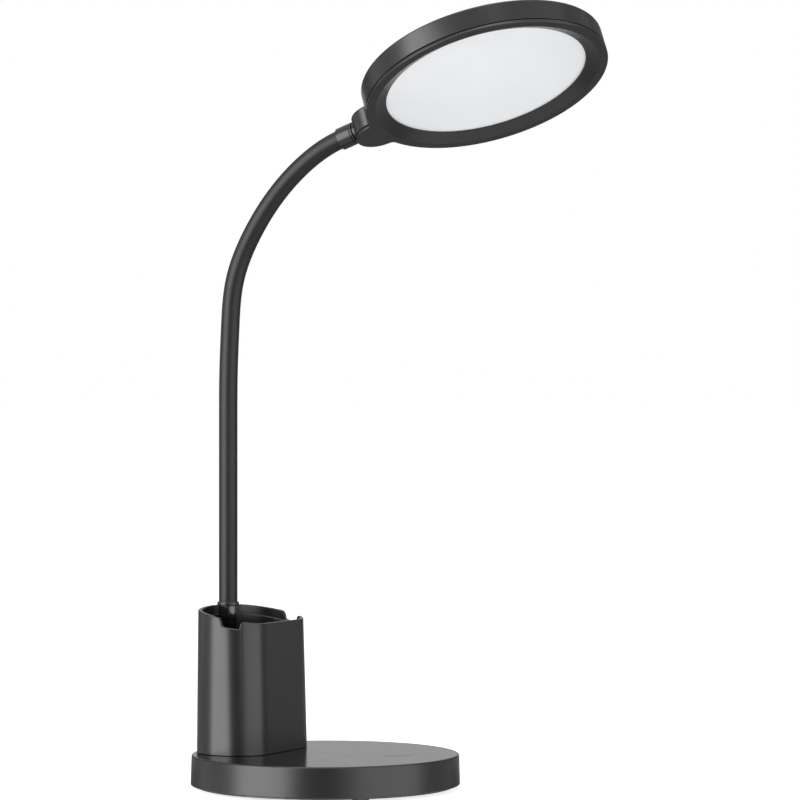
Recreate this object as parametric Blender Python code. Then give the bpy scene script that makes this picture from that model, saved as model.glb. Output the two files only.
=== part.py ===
"""LED table lamp: round flat head on a bending neck, standing in a pen cup on a round base.

Everything is in metres. The origin is on the table under the centre of the base, +Z is up
and +X points to the front, the side the head leans towards. The cup is symmetric about
the XZ plane. The neck bends in an upright plane through its own post, turned a few
degrees from +X, and the head is rolled a little about the axis of its ferrule.
"""
import bpy
import bmesh
import math
from mathutils import Matrix, Vector

# Clearances shared by the whole lamp
GAP = 0.0003            # air between two pieces that touch on the real lamp
OVERRUN = 0.0020        # how far every cutter runs past the face it opens
EMBED = 0.0005          # how deep a rib or boss is rooted in the wall that carries it

# Counts of facets
FINE_SIDES = 56
MEDIUM_SIDES = 24
SMALL_SIDES = 14
SCREW_SIDES = 10
NUT_SIDES = 6
ARC_STEPS = 3           # straight runs in one small rounded edge
SMOOTH_ANGLE = math.radians(32.0)

# Base: cover, bottom plate and feet
BASE_RADIUS = 0.0750            # at the top edge
BASE_DRAFT = 0.0005             # how much wider the bottom edge is
BASE_HEIGHT = 0.0180            # from the underside of the bottom plate
BASE_WALL = 0.0024
BASE_EDGE_RADIUS = 0.0012
COVER_LIFT = 0.0011             # lower edge of the cover above the underside of the plate
PLATE_THICKNESS = 0.0020
PLATE_PAD_HEIGHT = 0.0016       # pads inside the plate, round the screw heads
PLATE_PAD_RADIUS = 0.0046
FOOT_RADIUS = 0.0048
FOOT_DROP = 0.0015              # how far the feet lift the bottom plate off the table
FOOT_RECESS = 0.0007
FIXING_INSET = 0.0130           # of the feet, plate screws and bosses from the edge of the base
FIXING_CIRCLE = BASE_RADIUS - FIXING_INSET
FIXING_COUNT = 4
FIXING_FIRST_ANGLE = math.radians(45.0)
BOSS_RADIUS = 0.0034

# Touch key on the base
KEY_INSET = 0.0300              # centre of the key from the front edge of the base
KEY_DISTANCE = BASE_RADIUS - KEY_INSET
KEY_RADIUS = 0.0095
KEY_DEPTH = 0.0004
CONTACT_PAD_RADIUS = 0.0060
CONTACT_PAD_THICKNESS = 0.0006
CONTACT_STEM_RADIUS = 0.0012
CONTACT_FOOT_RADIUS = 0.0022

# Ballast and control board inside the base
BALLAST_INSET = 0.0250
BALLAST_RADIUS = BASE_RADIUS - BALLAST_INSET
BALLAST_CLEARANCE = 0.0009      # air under the heads of the board's screws
BOARD_LENGTH = 0.0460
BOARD_WIDTH = 0.0300
BOARD_THICKNESS = 0.0016
BOARD_OFFSET = 0.0075           # centre of the board behind the centre of the key
BOARD_CENTRE = KEY_DISTANCE - BOARD_OFFSET
BOARD_DROP = 0.0031             # board top below the inside of the cover
BOARD_FIXING_INSET = 0.0035
CHIP_LENGTH = 0.0080
CHIP_WIDTH = 0.0060
CHIP_HEIGHT = 0.0008
CAPACITOR_RADIUS = 0.0022
CAPACITOR_HEIGHT = 0.0011

# Charging port in the rear of the base, with flat-sided outlines: half width, half height
PORT_ANGLE = math.radians(152.0)
PORT_HEIGHT = 0.0094            # centre line above the underside of the plate
PORT_RECESS = 0.0003            # mouth of the port behind the side of the base
PORT_BODY = (0.0065, 0.0031)
PORT_NOSE = (0.0049, 0.0021)
PORT_SLOT = (0.0044, 0.0016)
PORT_TONGUE = (0.0034, 0.0004)
PORT_BODY_LENGTH = 0.0090
PORT_SLOT_DEPTH = 0.0065
PORT_TONGUE_LENGTH = 0.0048
PORT_CORNER_STEPS = 3

# Pen cup: an outer shell round an inner liner
CUP_BACK_INSET = 0.0023         # back wall inside the edge of the base, and round its centre
CUP_BACK_RADIUS = BASE_RADIUS - CUP_BACK_INSET
CUP_HALF_WIDTH = 0.0397
CUP_DEPTH = 0.0480              # from the back wall to the flat front
CUP_FRONT_SETBACK = CUP_BACK_RADIUS - CUP_DEPTH
CUP_FRONT_CORNER = 0.0194
CUP_SIDE_STRAIGHT = 0.0002      # straight run between the two corners of a side, at the rim
CUP_SIDE_DRAFT = 0.0007         # how far back and sides lean in up to the rim
CUP_FRONT_DRAFT = 0.0019
CUP_FRONT_HEIGHT = 0.0729       # rim above the base, at the front
RIM_RISE_SHARE = 0.177          # rise of the rim towards the back, per length
CUP_WALL = 0.0022
RIM_ROUND = 0.0006
LEDGE_DROP = 0.0050             # rim of the liner below the rim of the shell
LINER_WALL = 0.0018
LINER_FLOOR_LIFT = 0.0070
LINER_FLOOR_THICKNESS = 0.0020
CORNER_STEPS = 7
BACK_STEPS = 6

# Slot across the rim, where a telephone stands
NOTCH_DISTANCE = 0.0155         # behind the flat front
NOTCH_CENTRE_SETBACK = CUP_FRONT_SETBACK + NOTCH_DISTANCE
NOTCH_FLOOR_WIDTH = 0.0092
NOTCH_MOUTH_WIDTH = 0.0134
NOTCH_DEPTH = 0.0046
NOTCH_CORNER = 0.0012

# Post and lower end of the neck
POST_INSET = 0.0106             # axis of the neck inside the back of the cup
POST_DISTANCE = CUP_BACK_RADIUS - POST_INSET
COLUMN_RADIUS = 0.0072
COLUMN_TOP = 0.0651             # above the base
STUD_RADIUS = 0.0034
STUD_BORE = 0.0020
STUD_GRIP = 0.0045              # stud inside the lower ferrule
STUD_TAIL = 0.0085              # stud below the inside of the base cover
WASHER_RADIUS = 0.0090
WASHER_THICKNESS = 0.0012
NUT_CORNER_RADIUS = 0.0075
NUT_HEIGHT = 0.0050
NECK_RADIUS = 0.00527
LOWER_FLANGE_LIP = 0.00093      # how far the flange stands out past the neck
LOWER_FLANGE_RADIUS = NECK_RADIUS + LOWER_FLANGE_LIP
LOWER_FLANGE_HEIGHT = 0.0022
LOWER_FLANGE_BEVEL = 0.0006
LOWER_BODY_RADIUS = 0.0052
LOWER_TAPER_RADIUS = 0.0046
LOWER_FERRULE_LENGTH = 0.0171
LOWER_SOCKET_DEPTH = 0.0016
CORE_TAIL = 0.0120              # steel core below the mouth of the lower ferrule

# Neck: a soft sleeve over a steel core, cut into links that turn on ball ends
NECK_LENGTH = 0.2883
CORE_RADIUS = 0.0033
SLEEVE_BORE = CORE_RADIUS + GAP
BALL_CLEARANCE = GAP
NECK_LINKS = 11
NECK_HEADING = math.radians(4.5)
NECK_BEND = math.radians(68.6)
NECK_BEND_SHARES = (0.0, 0.0, 0.0, 0.0, 0.0, 0.12, 0.0, 0.91, 0.40, 0.48, 0.55, 1.0)
NECK_SIDES = 14
CORE_SIDES = 10
STRAIGHT_STEPS = 1
CURVED_STEPS = 2
PATH_STEPS = 48                 # integration steps along one link

# Upper ferrule, on whose axis the head turns
UPPER_FERRULE_LIP = 0.00106     # how far the ferrule stands out past the neck
UPPER_FERRULE_RADIUS = NECK_RADIUS + UPPER_FERRULE_LIP
UPPER_FERRULE_LENGTH = 0.0099
UPPER_FERRULE_BEVEL = 0.0004
UPPER_SOCKET_DEPTH = 0.0036
UPPER_CORE_DEPTH = 0.0060
BARREL_WALL = 0.0011
SWIVEL_CLEARANCE = 0.00035      # air round the nut inside the head
SWIVEL_WASHER_THICKNESS = 0.0008
SWIVEL_NUT_WALL = 0.0015
SWIVEL_NUT_HEIGHT = 0.0030
BARREL_TAIL = 0.0010            # thread past the nut

# Head
HEAD_ROLL = math.radians(-15.1)
HEAD_RADIUS = 0.0686
HEAD_THICKNESS = 0.0143
HEAD_AXIS_OFFSET = 0.0009       # axis of the ferrule behind the middle of the thickness
HEAD_WALL = 0.0020
HEAD_BACK_EDGE = 0.0011
LUG_RADIUS = 0.0134
LUG_FILLET = 0.0030
LUG_FACE_MARGIN = 0.00065       # edge of the face from the back of the head
LUG_FACE_DEPTH = 0.0034
BEZEL_THICKNESS = 0.0018
BEZEL_BEVEL = 0.0004
BEZEL_FLAT_WIDTH = 0.0052
BEZEL_WIDTH = 0.0119            # from the edge of the head to the window
WINDOW_RADIUS = HEAD_RADIUS - BEZEL_WIDTH
LIP_THICKNESS = 0.0008
LIP_WIDTH = 0.0040
SKIRT_THICKNESS = 0.0014
SKIRT_HEIGHT = 0.0026
HEAD_ARC_STEPS = 24
LUG_STEPS = 6
FILLET_STEPS = 3

# Optical stack in the head
DIFFUSER_LAP = 0.0025           # how far the diffuser reaches behind the lip
DIFFUSER_RADIUS = WINDOW_RADIUS + DIFFUSER_LAP
DIFFUSER_THICKNESS = 0.0012
GUIDE_INSET = 0.0004            # edge of the guide inside the edge of the diffuser
GUIDE_RADIUS = DIFFUSER_RADIUS - GUIDE_INSET
GUIDE_THICKNESS = 0.0025
REFLECTOR_THICKNESS = 0.0004
STACK_SPACE = 0.0031            # air between the film and the back of the head
STRIP_THICKNESS = 0.0008
STRIP_HEIGHT = 0.0030
LED_COUNT = 12
LED_WIDTH = 0.0028
LED_DEPTH = 0.0006
LED_HEIGHT = 0.0014
RIB_THICKNESS = 0.0012

# Screws
PLATE_SCREW = {"head_radius": 0.0029, "head_height": 0.0013, "shank_radius": 0.0014, "length": 0.0100}
CUP_SCREW = {"head_radius": 0.0028, "head_height": 0.0016, "shank_radius": 0.0014, "length": 0.0080}
BOARD_SCREW = {"head_radius": 0.0020, "head_height": 0.0010, "shank_radius": 0.0009, "length": 0.0040}
SCREW_RECESS_RADIUS = 0.0008
SCREW_RECESS_DEPTH = 0.0005
CUP_SCREW_SIDE = 0.0240         # side screws of the cup, from the front axis
CUP_SCREW_DISTANCE = 0.0223     # side screws behind the flat front of the cup
CUP_SCREW_FRONT_DISTANCE = 0.0083
CUP_SCREW_SETBACK = CUP_FRONT_SETBACK + CUP_SCREW_DISTANCE
CUP_SCREW_FRONT_SETBACK = CUP_FRONT_SETBACK + CUP_SCREW_FRONT_DISTANCE

# Heights and distances worked out from the sizes above
BASE_BOTTOM = FOOT_DROP
BASE_TOP = FOOT_DROP + BASE_HEIGHT
COVER_INSIDE = BASE_TOP - BASE_WALL
PLATE_TOP = BASE_BOTTOM + PLATE_THICKNESS
NECK_START = BASE_TOP + COLUMN_TOP + GAP + LOWER_FERRULE_LENGTH
HEAD_REACH = HEAD_RADIUS + LUG_RADIUS + GAP + UPPER_FERRULE_LENGTH
LINK_LENGTH = NECK_LENGTH / NECK_LINKS
HALF_HEAD = HEAD_THICKNESS / 2
SEAM = -HALF_HEAD + BEZEL_THICKNESS
LUG_FACE_RADIUS = HALF_HEAD - HEAD_AXIS_OFFSET - LUG_FACE_MARGIN
SWIVEL_NUT_RADIUS = HALF_HEAD - HEAD_AXIS_OFFSET - HEAD_WALL - SWIVEL_CLEARANCE
BARREL_RADIUS = SWIVEL_NUT_RADIUS - SWIVEL_NUT_WALL
BARREL_BORE = BARREL_RADIUS - BARREL_WALL
OPTICAL_STACK = LIP_THICKNESS + DIFFUSER_THICKNESS + GUIDE_THICKNESS + REFLECTOR_THICKNESS + 3 * GAP
WINDOW_DEPTH = HEAD_THICKNESS - HEAD_WALL - STACK_SPACE - OPTICAL_STACK
BOARD_BOTTOM = COVER_INSIDE - BOARD_DROP - BOARD_THICKNESS
BALLAST_BOTTOM = PLATE_TOP + GAP
BALLAST_TOP = BOARD_BOTTOM - GAP - BOARD_SCREW["head_height"] - BALLAST_CLEARANCE

# Colours, roughness and metallic value of the materials
BLACK_PLASTIC = ((0.016, 0.016, 0.017), 0.38, 0.0)
BLACK_SLEEVE = ((0.014, 0.014, 0.015), 0.55, 0.0)
BLACK_GLOSS = ((0.012, 0.012, 0.013), 0.18, 0.0)
GREY_RUBBER = ((0.30, 0.30, 0.30), 0.80, 0.0)
OPAL = ((0.82, 0.84, 0.86), 0.45, 0.0)
CLEAR_ACRYLIC = ((0.80, 0.86, 0.90), 0.10, 0.0)
WHITE_FILM = ((0.85, 0.85, 0.85), 0.60, 0.0)
STEEL = ((0.45, 0.45, 0.46), 0.35, 1.0)
ZINC = ((0.60, 0.60, 0.62), 0.30, 1.0)
BOARD_GREEN = ((0.02, 0.16, 0.07), 0.45, 0.0)
BOARD_WHITE = ((0.75, 0.75, 0.72), 0.50, 0.0)
BRASS = ((0.70, 0.52, 0.25), 0.30, 1.0)


# Scene and object helpers

def clear_scene():
    for old in list(bpy.data.objects):
        bpy.data.objects.remove(old)


def make_material(name, look):
    colour, roughness, metallic = look
    material = bpy.data.materials.new(name)
    material.use_nodes = True
    shader = material.node_tree.nodes["Principled BSDF"]
    shader.inputs["Base Color"].default_value = (*colour, 1.0)
    shader.inputs["Roughness"].default_value = roughness
    shader.inputs["Metallic"].default_value = metallic
    return material


def add_empty(name, matrix):
    empty = bpy.data.objects.new(name, None)
    bpy.context.scene.collection.objects.link(empty)
    empty.matrix_world = matrix
    return empty


def add_mesh(name, build, look=None, parent=None, matrix=None, smooth=True):
    """Turn a bmesh into an object; without a look it is a tool, which stays hidden."""
    bmesh.ops.recalc_face_normals(build, faces=build.faces)
    mesh = bpy.data.meshes.new(name)
    build.to_mesh(mesh)
    build.free()
    if smooth:
        mesh.shade_smooth()
        mesh.set_sharp_from_angle(angle=SMOOTH_ANGLE)
    piece = bpy.data.objects.new(name, mesh)
    bpy.context.scene.collection.objects.link(piece)
    if parent is not None:
        piece.parent = parent
    if matrix is not None:
        piece.matrix_local = matrix
    if look is None:
        piece.hide_render = True
        piece.display_type = "WIRE"
    else:
        mesh.materials.append(make_material(name, look))
    return piece


def combine(piece, tool, operation):
    modifier = piece.modifiers.new(tool.name, "BOOLEAN")
    modifier.operation = operation
    modifier.object = tool


def cut(piece, tool):
    combine(piece, tool, "DIFFERENCE")


def fuse(piece, tool):
    combine(piece, tool, "UNION")


# Rings and lofts

def round_ring(radius, height, sides, frame=None):
    """A circle about Z whose points stay off the X and Y axes."""
    points = []
    for step in range(sides):
        angle = math.tau * (step + 0.5) / sides
        points.append(Vector((radius * math.cos(angle), radius * math.sin(angle), height)))
    if frame is not None:
        points = [frame @ point for point in points]
    return points


def level_ring(outline, height):
    return [Vector((x, y, height)) for x, y in outline]


def bridge(build, lower, upper):
    count = len(lower)
    for step in range(count):
        following = (step + 1) % count
        build.faces.new((lower[step], lower[following], upper[following]))
        build.faces.new((lower[step], upper[following], upper[step]))


def solid_loft(rings):
    """A closed solid through rings of equal count, capped flat at both ends."""
    build = bmesh.new()
    loops = [[build.verts.new(point) for point in ring] for ring in rings]
    for lower, upper in zip(loops, loops[1:]):
        bridge(build, lower, upper)
    build.faces.new(loops[0])
    build.faces.new(loops[-1])
    return build


def tube_loft(rings):
    """A closed wall through rings of equal count, the last one joined to the first."""
    build = bmesh.new()
    loops = [[build.verts.new(point) for point in ring] for ring in rings]
    for lower, upper in zip(loops, loops[1:] + loops[:1]):
        bridge(build, lower, upper)
    return build


def turned(profile, sides):
    """A solid of revolution about Z, flat at both ends, whose profile starts and ends on the axis."""
    return solid_loft([round_ring(radius, height, sides) for radius, height in profile[1:-1]])


def turned_ring(profile, sides):
    """A ring of revolution about Z, from a closed profile clear of the axis."""
    return tube_loft([round_ring(radius, height, sides) for radius, height in profile])


def disc(radius, low, high, sides):
    return solid_loft([round_ring(radius, low, sides), round_ring(radius, high, sides)])


def pipe(outer, inner, low, high, sides):
    return turned_ring([(outer, low), (outer, high), (inner, high), (inner, low)], sides)


def block(low, high):
    corners = [(low[0], low[1]), (high[0], low[1]), (high[0], high[1]), (low[0], high[1])]
    return solid_loft([level_ring(corners, low[2]), level_ring(corners, high[2])])


def arc(centre, radius, start, end, steps):
    points = []
    for step in range(steps + 1):
        angle = start + (end - start) * step / steps
        points.append((centre[0] + radius * math.cos(angle), centre[1] + radius * math.sin(angle)))
    return points


def rounded_edge(radius, top, edge):
    """Profile points of a rounded outer top edge, going up the side and in to the top."""
    return arc((radius - edge, top - edge), edge, 0, math.pi / 2, ARC_STEPS)


def mirrored(half):
    """Close an outline from the half that runs from one point of the X axis to another."""
    return half + [(x, -y) for x, y in reversed(half[1:-1])]


def fixing_places():
    places = []
    for index in range(FIXING_COUNT):
        angle = FIXING_FIRST_ANGLE + math.tau * index / FIXING_COUNT
        places.append((FIXING_CIRCLE * math.cos(angle), FIXING_CIRCLE * math.sin(angle)))
    return places


def cup_screw_places():
    return [(-CUP_SCREW_FRONT_SETBACK, 0), (-CUP_SCREW_SETBACK, CUP_SCREW_SIDE),
            (-CUP_SCREW_SETBACK, -CUP_SCREW_SIDE)]


def board_screw_places():
    reach = BOARD_LENGTH / 2 - BOARD_FIXING_INSET
    return [(BOARD_CENTRE - reach, 0), (BOARD_CENTRE + reach, 0)]


def shifted(x, y):
    return Matrix.Translation((x, y, 0))


def add_screw(name, size, place, head_bottom, look=ZINC):
    """A pan-head screw that points up, with its head resting at head_bottom."""
    head_top = head_bottom + size["head_height"]
    profile = [(0, head_bottom + SCREW_RECESS_DEPTH), (SCREW_RECESS_RADIUS, head_bottom + SCREW_RECESS_DEPTH),
               (SCREW_RECESS_RADIUS, head_bottom), (size["head_radius"], head_bottom),
               (size["head_radius"], head_top), (size["shank_radius"], head_top),
               (size["shank_radius"], head_top + size["length"]), (0, head_top + size["length"])]
    return add_mesh(name, turned(profile, SCREW_SIDES), look, matrix=shifted(*place))


# Base

def add_base_cover():
    bottom = BASE_BOTTOM + COVER_LIFT
    inner = BASE_RADIUS - BASE_WALL
    profile = [(0, COVER_INSIDE), (inner, COVER_INSIDE), (inner + BASE_DRAFT, bottom),
               (BASE_RADIUS + BASE_DRAFT, bottom)]
    profile += rounded_edge(BASE_RADIUS, BASE_TOP, BASE_EDGE_RADIUS)
    profile += [(0, BASE_TOP)]
    cover = add_mesh("base_cover", turned(profile, FINE_SIDES), BLACK_PLASTIC)
    boss_bottom = PLATE_TOP + PLATE_PAD_HEIGHT + GAP
    screw_hole = PLATE_SCREW["shank_radius"] + GAP
    for index, place in enumerate(fixing_places()):
        boss = disc(BOSS_RADIUS, boss_bottom, COVER_INSIDE + EMBED, SMALL_SIDES)
        fuse(cover, add_mesh(f"tool_plate_boss_{index}", boss, matrix=shifted(*place)))
        hole_top = plate_screw_head() + PLATE_SCREW["head_height"] + PLATE_SCREW["length"] + GAP
        hole = disc(screw_hole, boss_bottom - OVERRUN, hole_top, SCREW_SIDES)
        cut(cover, add_mesh(f"tool_plate_hole_{index}", hole, matrix=shifted(*place)))
    board_top = COVER_INSIDE - BOARD_DROP
    for index, place in enumerate(board_screw_places()):
        post = pipe(BOARD_FIXING_INSET - GAP, BOARD_SCREW["shank_radius"] + GAP,
                    board_top + GAP, COVER_INSIDE + EMBED, SMALL_SIDES)
        fuse(cover, add_mesh(f"tool_board_post_{index}", post, matrix=shifted(*place)))
    for index, place in enumerate(cup_screw_places()):
        hole = disc(CUP_SCREW["shank_radius"] + GAP, COVER_INSIDE - OVERRUN, BASE_TOP + OVERRUN, SCREW_SIDES)
        cut(cover, add_mesh(f"tool_cup_hole_{index}", hole, matrix=shifted(*place)))
    stud_hole = disc(STUD_RADIUS + GAP, COVER_INSIDE - OVERRUN, BASE_TOP + OVERRUN, SMALL_SIDES)
    cut(cover, add_mesh("tool_stud_hole", stud_hole, matrix=shifted(-POST_DISTANCE, 0)))
    key = disc(KEY_RADIUS, BASE_TOP - KEY_DEPTH, BASE_TOP + OVERRUN, MEDIUM_SIDES)
    cut(cover, add_mesh("tool_touch_key", key, matrix=shifted(KEY_DISTANCE, 0)))
    rings = [port_ring(PORT_NOSE, height, GAP) for height in (-BASE_WALL - OVERRUN, BASE_DRAFT + OVERRUN)]
    cut(cover, add_mesh("tool_port_hole", solid_loft(rings), matrix=port_frame()))


def port_frame():
    """Frame on the side of the base at the port: +Z points out of the base and +Y lies level."""
    place = Vector((BASE_RADIUS * math.cos(PORT_ANGLE), BASE_RADIUS * math.sin(PORT_ANGLE),
                    BASE_BOTTOM + PORT_HEIGHT))
    turn = Matrix.Rotation(PORT_ANGLE, 4, "Z") @ Matrix.Rotation(math.pi / 2, 4, "Y")
    return Matrix.Translation(place) @ turn


def port_ring(size, height, margin=0.0):
    """A level, flat-sided outline with round ends, from its half width and half height."""
    end = size[1] + margin
    straight = size[0] - size[1]
    outline = arc((0, straight), end, 0, math.pi, PORT_CORNER_STEPS * 2)
    outline += arc((0, -straight), end, math.pi, math.tau, PORT_CORNER_STEPS * 2)
    return level_ring(outline, height)


def add_charging_port():
    shoulder = -BASE_WALL - GAP
    slot_floor = -PORT_RECESS - PORT_SLOT_DEPTH
    rings = [port_ring(PORT_BODY, shoulder - PORT_BODY_LENGTH), port_ring(PORT_BODY, shoulder),
             port_ring(PORT_NOSE, shoulder), port_ring(PORT_NOSE, -PORT_RECESS),
             port_ring(PORT_SLOT, -PORT_RECESS), port_ring(PORT_SLOT, slot_floor),
             port_ring(PORT_TONGUE, slot_floor), port_ring(PORT_TONGUE, slot_floor + PORT_TONGUE_LENGTH)]
    add_mesh("charging_port", solid_loft(rings), BLACK_PLASTIC, matrix=port_frame())


def plate_screw_head():
    """Underside of the plate screws' heads, just above the feet."""
    return BASE_BOTTOM + FOOT_RECESS + GAP


def add_bottom_plate():
    radius = BASE_RADIUS - BASE_WALL - GAP
    plate = add_mesh("bottom_plate", disc(radius, BASE_BOTTOM, PLATE_TOP, FINE_SIDES), BLACK_PLASTIC)
    pad_top = PLATE_TOP + PLATE_PAD_HEIGHT
    head_seat = plate_screw_head() + PLATE_SCREW["head_height"] + GAP
    for index, place in enumerate(fixing_places()):
        pad = disc(PLATE_PAD_RADIUS, PLATE_TOP - EMBED, pad_top, SMALL_SIDES)
        fuse(plate, add_mesh(f"tool_pad_{index}", pad, matrix=shifted(*place)))
        well = [(0, BASE_BOTTOM - OVERRUN), (FOOT_RADIUS + GAP, BASE_BOTTOM - OVERRUN),
                (FOOT_RADIUS + GAP, BASE_BOTTOM + FOOT_RECESS),
                (PLATE_SCREW["head_radius"] + GAP, BASE_BOTTOM + FOOT_RECESS),
                (PLATE_SCREW["head_radius"] + GAP, head_seat),
                (PLATE_SCREW["shank_radius"] + GAP, head_seat),
                (PLATE_SCREW["shank_radius"] + GAP, pad_top + OVERRUN), (0, pad_top + OVERRUN)]
        cut(plate, add_mesh(f"tool_well_{index}", turned(well, SMALL_SIDES), matrix=shifted(*place)))


def add_feet_and_screws():
    foot_top = BASE_BOTTOM + FOOT_RECESS - GAP
    for index, place in enumerate(fixing_places()):
        foot = disc(FOOT_RADIUS, 0, foot_top, MEDIUM_SIDES)
        add_mesh(f"foot_{index + 1}", foot, GREY_RUBBER, matrix=shifted(*place))
        add_screw(f"plate_screw_{index + 1}", PLATE_SCREW, place, plate_screw_head())


def add_ballast():
    add_mesh("ballast_weight", disc(BALLAST_RADIUS, BALLAST_BOTTOM, BALLAST_TOP, FINE_SIDES), STEEL)


def add_control_board():
    bottom = BOARD_BOTTOM
    top = bottom + BOARD_THICKNESS
    low = (BOARD_CENTRE - BOARD_LENGTH / 2, -BOARD_WIDTH / 2, bottom)
    high = (BOARD_CENTRE + BOARD_LENGTH / 2, BOARD_WIDTH / 2, top)
    board = add_mesh("control_board", block(low, high), BOARD_GREEN, smooth=False)
    for index, place in enumerate(board_screw_places()):
        hole = disc(BOARD_SCREW["shank_radius"] + GAP, bottom - OVERRUN, top + OVERRUN, SCREW_SIDES)
        cut(board, add_mesh(f"tool_board_hole_{index}", hole, matrix=shifted(*place)))
        head_bottom = bottom - GAP - BOARD_SCREW["head_height"]
        add_screw(f"board_screw_{index + 1}", BOARD_SCREW, place, head_bottom)
    chip_low = (BOARD_CENTRE - CHIP_LENGTH / 2, BOARD_WIDTH / 4 - CHIP_WIDTH / 2, top - EMBED)
    chip_high = (BOARD_CENTRE + CHIP_LENGTH / 2, BOARD_WIDTH / 4 + CHIP_WIDTH / 2, top + CHIP_HEIGHT)
    fuse(board, add_mesh("tool_chip", block(chip_low, chip_high), smooth=False))
    for side in (-1, 1):
        can = disc(CAPACITOR_RADIUS, top - EMBED, top + CAPACITOR_HEIGHT, SMALL_SIDES)
        where = shifted(BOARD_CENTRE + side * BOARD_LENGTH / 4, -BOARD_WIDTH / 4)
        fuse(board, add_mesh(f"tool_can_{side + 1}", can, matrix=where))


def add_touch_contact():
    low = COVER_INSIDE - BOARD_DROP + GAP
    high = COVER_INSIDE - GAP
    pad = high - CONTACT_PAD_THICKNESS
    foot = low + CONTACT_PAD_THICKNESS
    profile = [(0, low), (CONTACT_FOOT_RADIUS, low), (CONTACT_FOOT_RADIUS, foot),
               (CONTACT_STEM_RADIUS, foot), (CONTACT_STEM_RADIUS, pad),
               (CONTACT_PAD_RADIUS, pad), (CONTACT_PAD_RADIUS, high), (0, high)]
    add_mesh("touch_contact", turned(profile, SMALL_SIDES), BRASS, matrix=shifted(KEY_DISTANCE, 0))


# Pen cup

def cup_back_corner():
    """Radius of the back corners, from the straight run that they leave on the sides at the rim."""
    back = CUP_BACK_RADIUS - CUP_SIDE_DRAFT
    half_width = CUP_HALF_WIDTH - CUP_SIDE_DRAFT
    centre_x = CUP_FRONT_SETBACK + CUP_FRONT_DRAFT + CUP_FRONT_CORNER + CUP_SIDE_STRAIGHT
    return (back ** 2 - half_width ** 2 - centre_x ** 2) / (2 * (back - half_width))


def cup_half_outline(inset, lean_share):
    """Half the plan of the cup, from the middle of its back to the middle of its front."""
    side_in = inset + CUP_SIDE_DRAFT * lean_share
    front_in = inset + CUP_FRONT_DRAFT * lean_share
    back = CUP_BACK_RADIUS - side_in
    half_width = CUP_HALF_WIDTH - side_in
    front = -CUP_FRONT_SETBACK - front_in
    back_corner = cup_back_corner() - inset
    front_corner = CUP_FRONT_CORNER - inset
    centre_y = half_width - back_corner
    centre_x = -math.sqrt((back - back_corner) ** 2 - centre_y ** 2)
    meeting = math.atan2(centre_y, centre_x)
    outline = arc((0, 0), back, math.pi, meeting, BACK_STEPS)
    outline += arc((centre_x, centre_y), back_corner, meeting, math.pi / 2, CORNER_STEPS)[1:]
    outline += arc((front - front_corner, half_width - front_corner), front_corner,
                   math.pi / 2, 0, CORNER_STEPS)
    outline += [(front, 0)]
    return outline


def cup_outline(inset, lean_share=0.0):
    return mirrored(cup_half_outline(inset, lean_share))


def rim_height(x, drop=0.0):
    """Height of the slanting rim at x, or of a plane that lies drop below it."""
    return BASE_TOP + CUP_FRONT_HEIGHT - RIM_RISE_SHARE * (x + CUP_FRONT_SETBACK) - drop


def rim_ring(outline, drop=0.0):
    return [Vector((x, y, rim_height(x, drop))) for x, y in outline]


def add_cup_shell():
    low = BASE_TOP + GAP
    rings = [level_ring(cup_outline(0), low), rim_ring(cup_outline(0, 1.0), RIM_ROUND),
             rim_ring(cup_outline(RIM_ROUND, 1.0)), rim_ring(cup_outline(CUP_WALL - RIM_ROUND, 1.0)),
             rim_ring(cup_outline(CUP_WALL, 1.0), RIM_ROUND), level_ring(cup_outline(CUP_WALL), low)]
    shell = add_mesh("cup_shell", tube_loft(rings), BLACK_PLASTIC)
    for side in (-1, 1):
        cut(shell, add_mesh(f"tool_notch_{side + 1}", notch_bar(side)))


def notch_bar(side):
    """A short bar through one side of the shell with the outline of the telephone slot."""
    centre = -NOTCH_CENTRE_SETBACK
    floor = NOTCH_FLOOR_WIDTH / 2
    mouth = NOTCH_MOUTH_WIDTH / 2
    half = [(0, -NOTCH_DEPTH)]
    half += arc((floor - NOTCH_CORNER, NOTCH_CORNER - NOTCH_DEPTH), NOTCH_CORNER,
                -math.pi / 2, 0, ARC_STEPS)
    shoulder = floor + NOTCH_CORNER / 2
    flare = mouth + (mouth - shoulder) * OVERRUN / NOTCH_CORNER
    half += [(shoulder, -NOTCH_CORNER), (flare, OVERRUN)]
    outline = half + [(-along, depth) for along, depth in reversed(half[1:])]
    rings = []
    for reach in (CUP_HALF_WIDTH - CUP_FRONT_CORNER, CUP_HALF_WIDTH + OVERRUN):
        ring = []
        for along, depth in outline:
            x = centre + along
            ring.append(Vector((x, side * reach, rim_height(x) + depth)))
        rings.append(ring)
    return solid_loft(rings)


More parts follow.
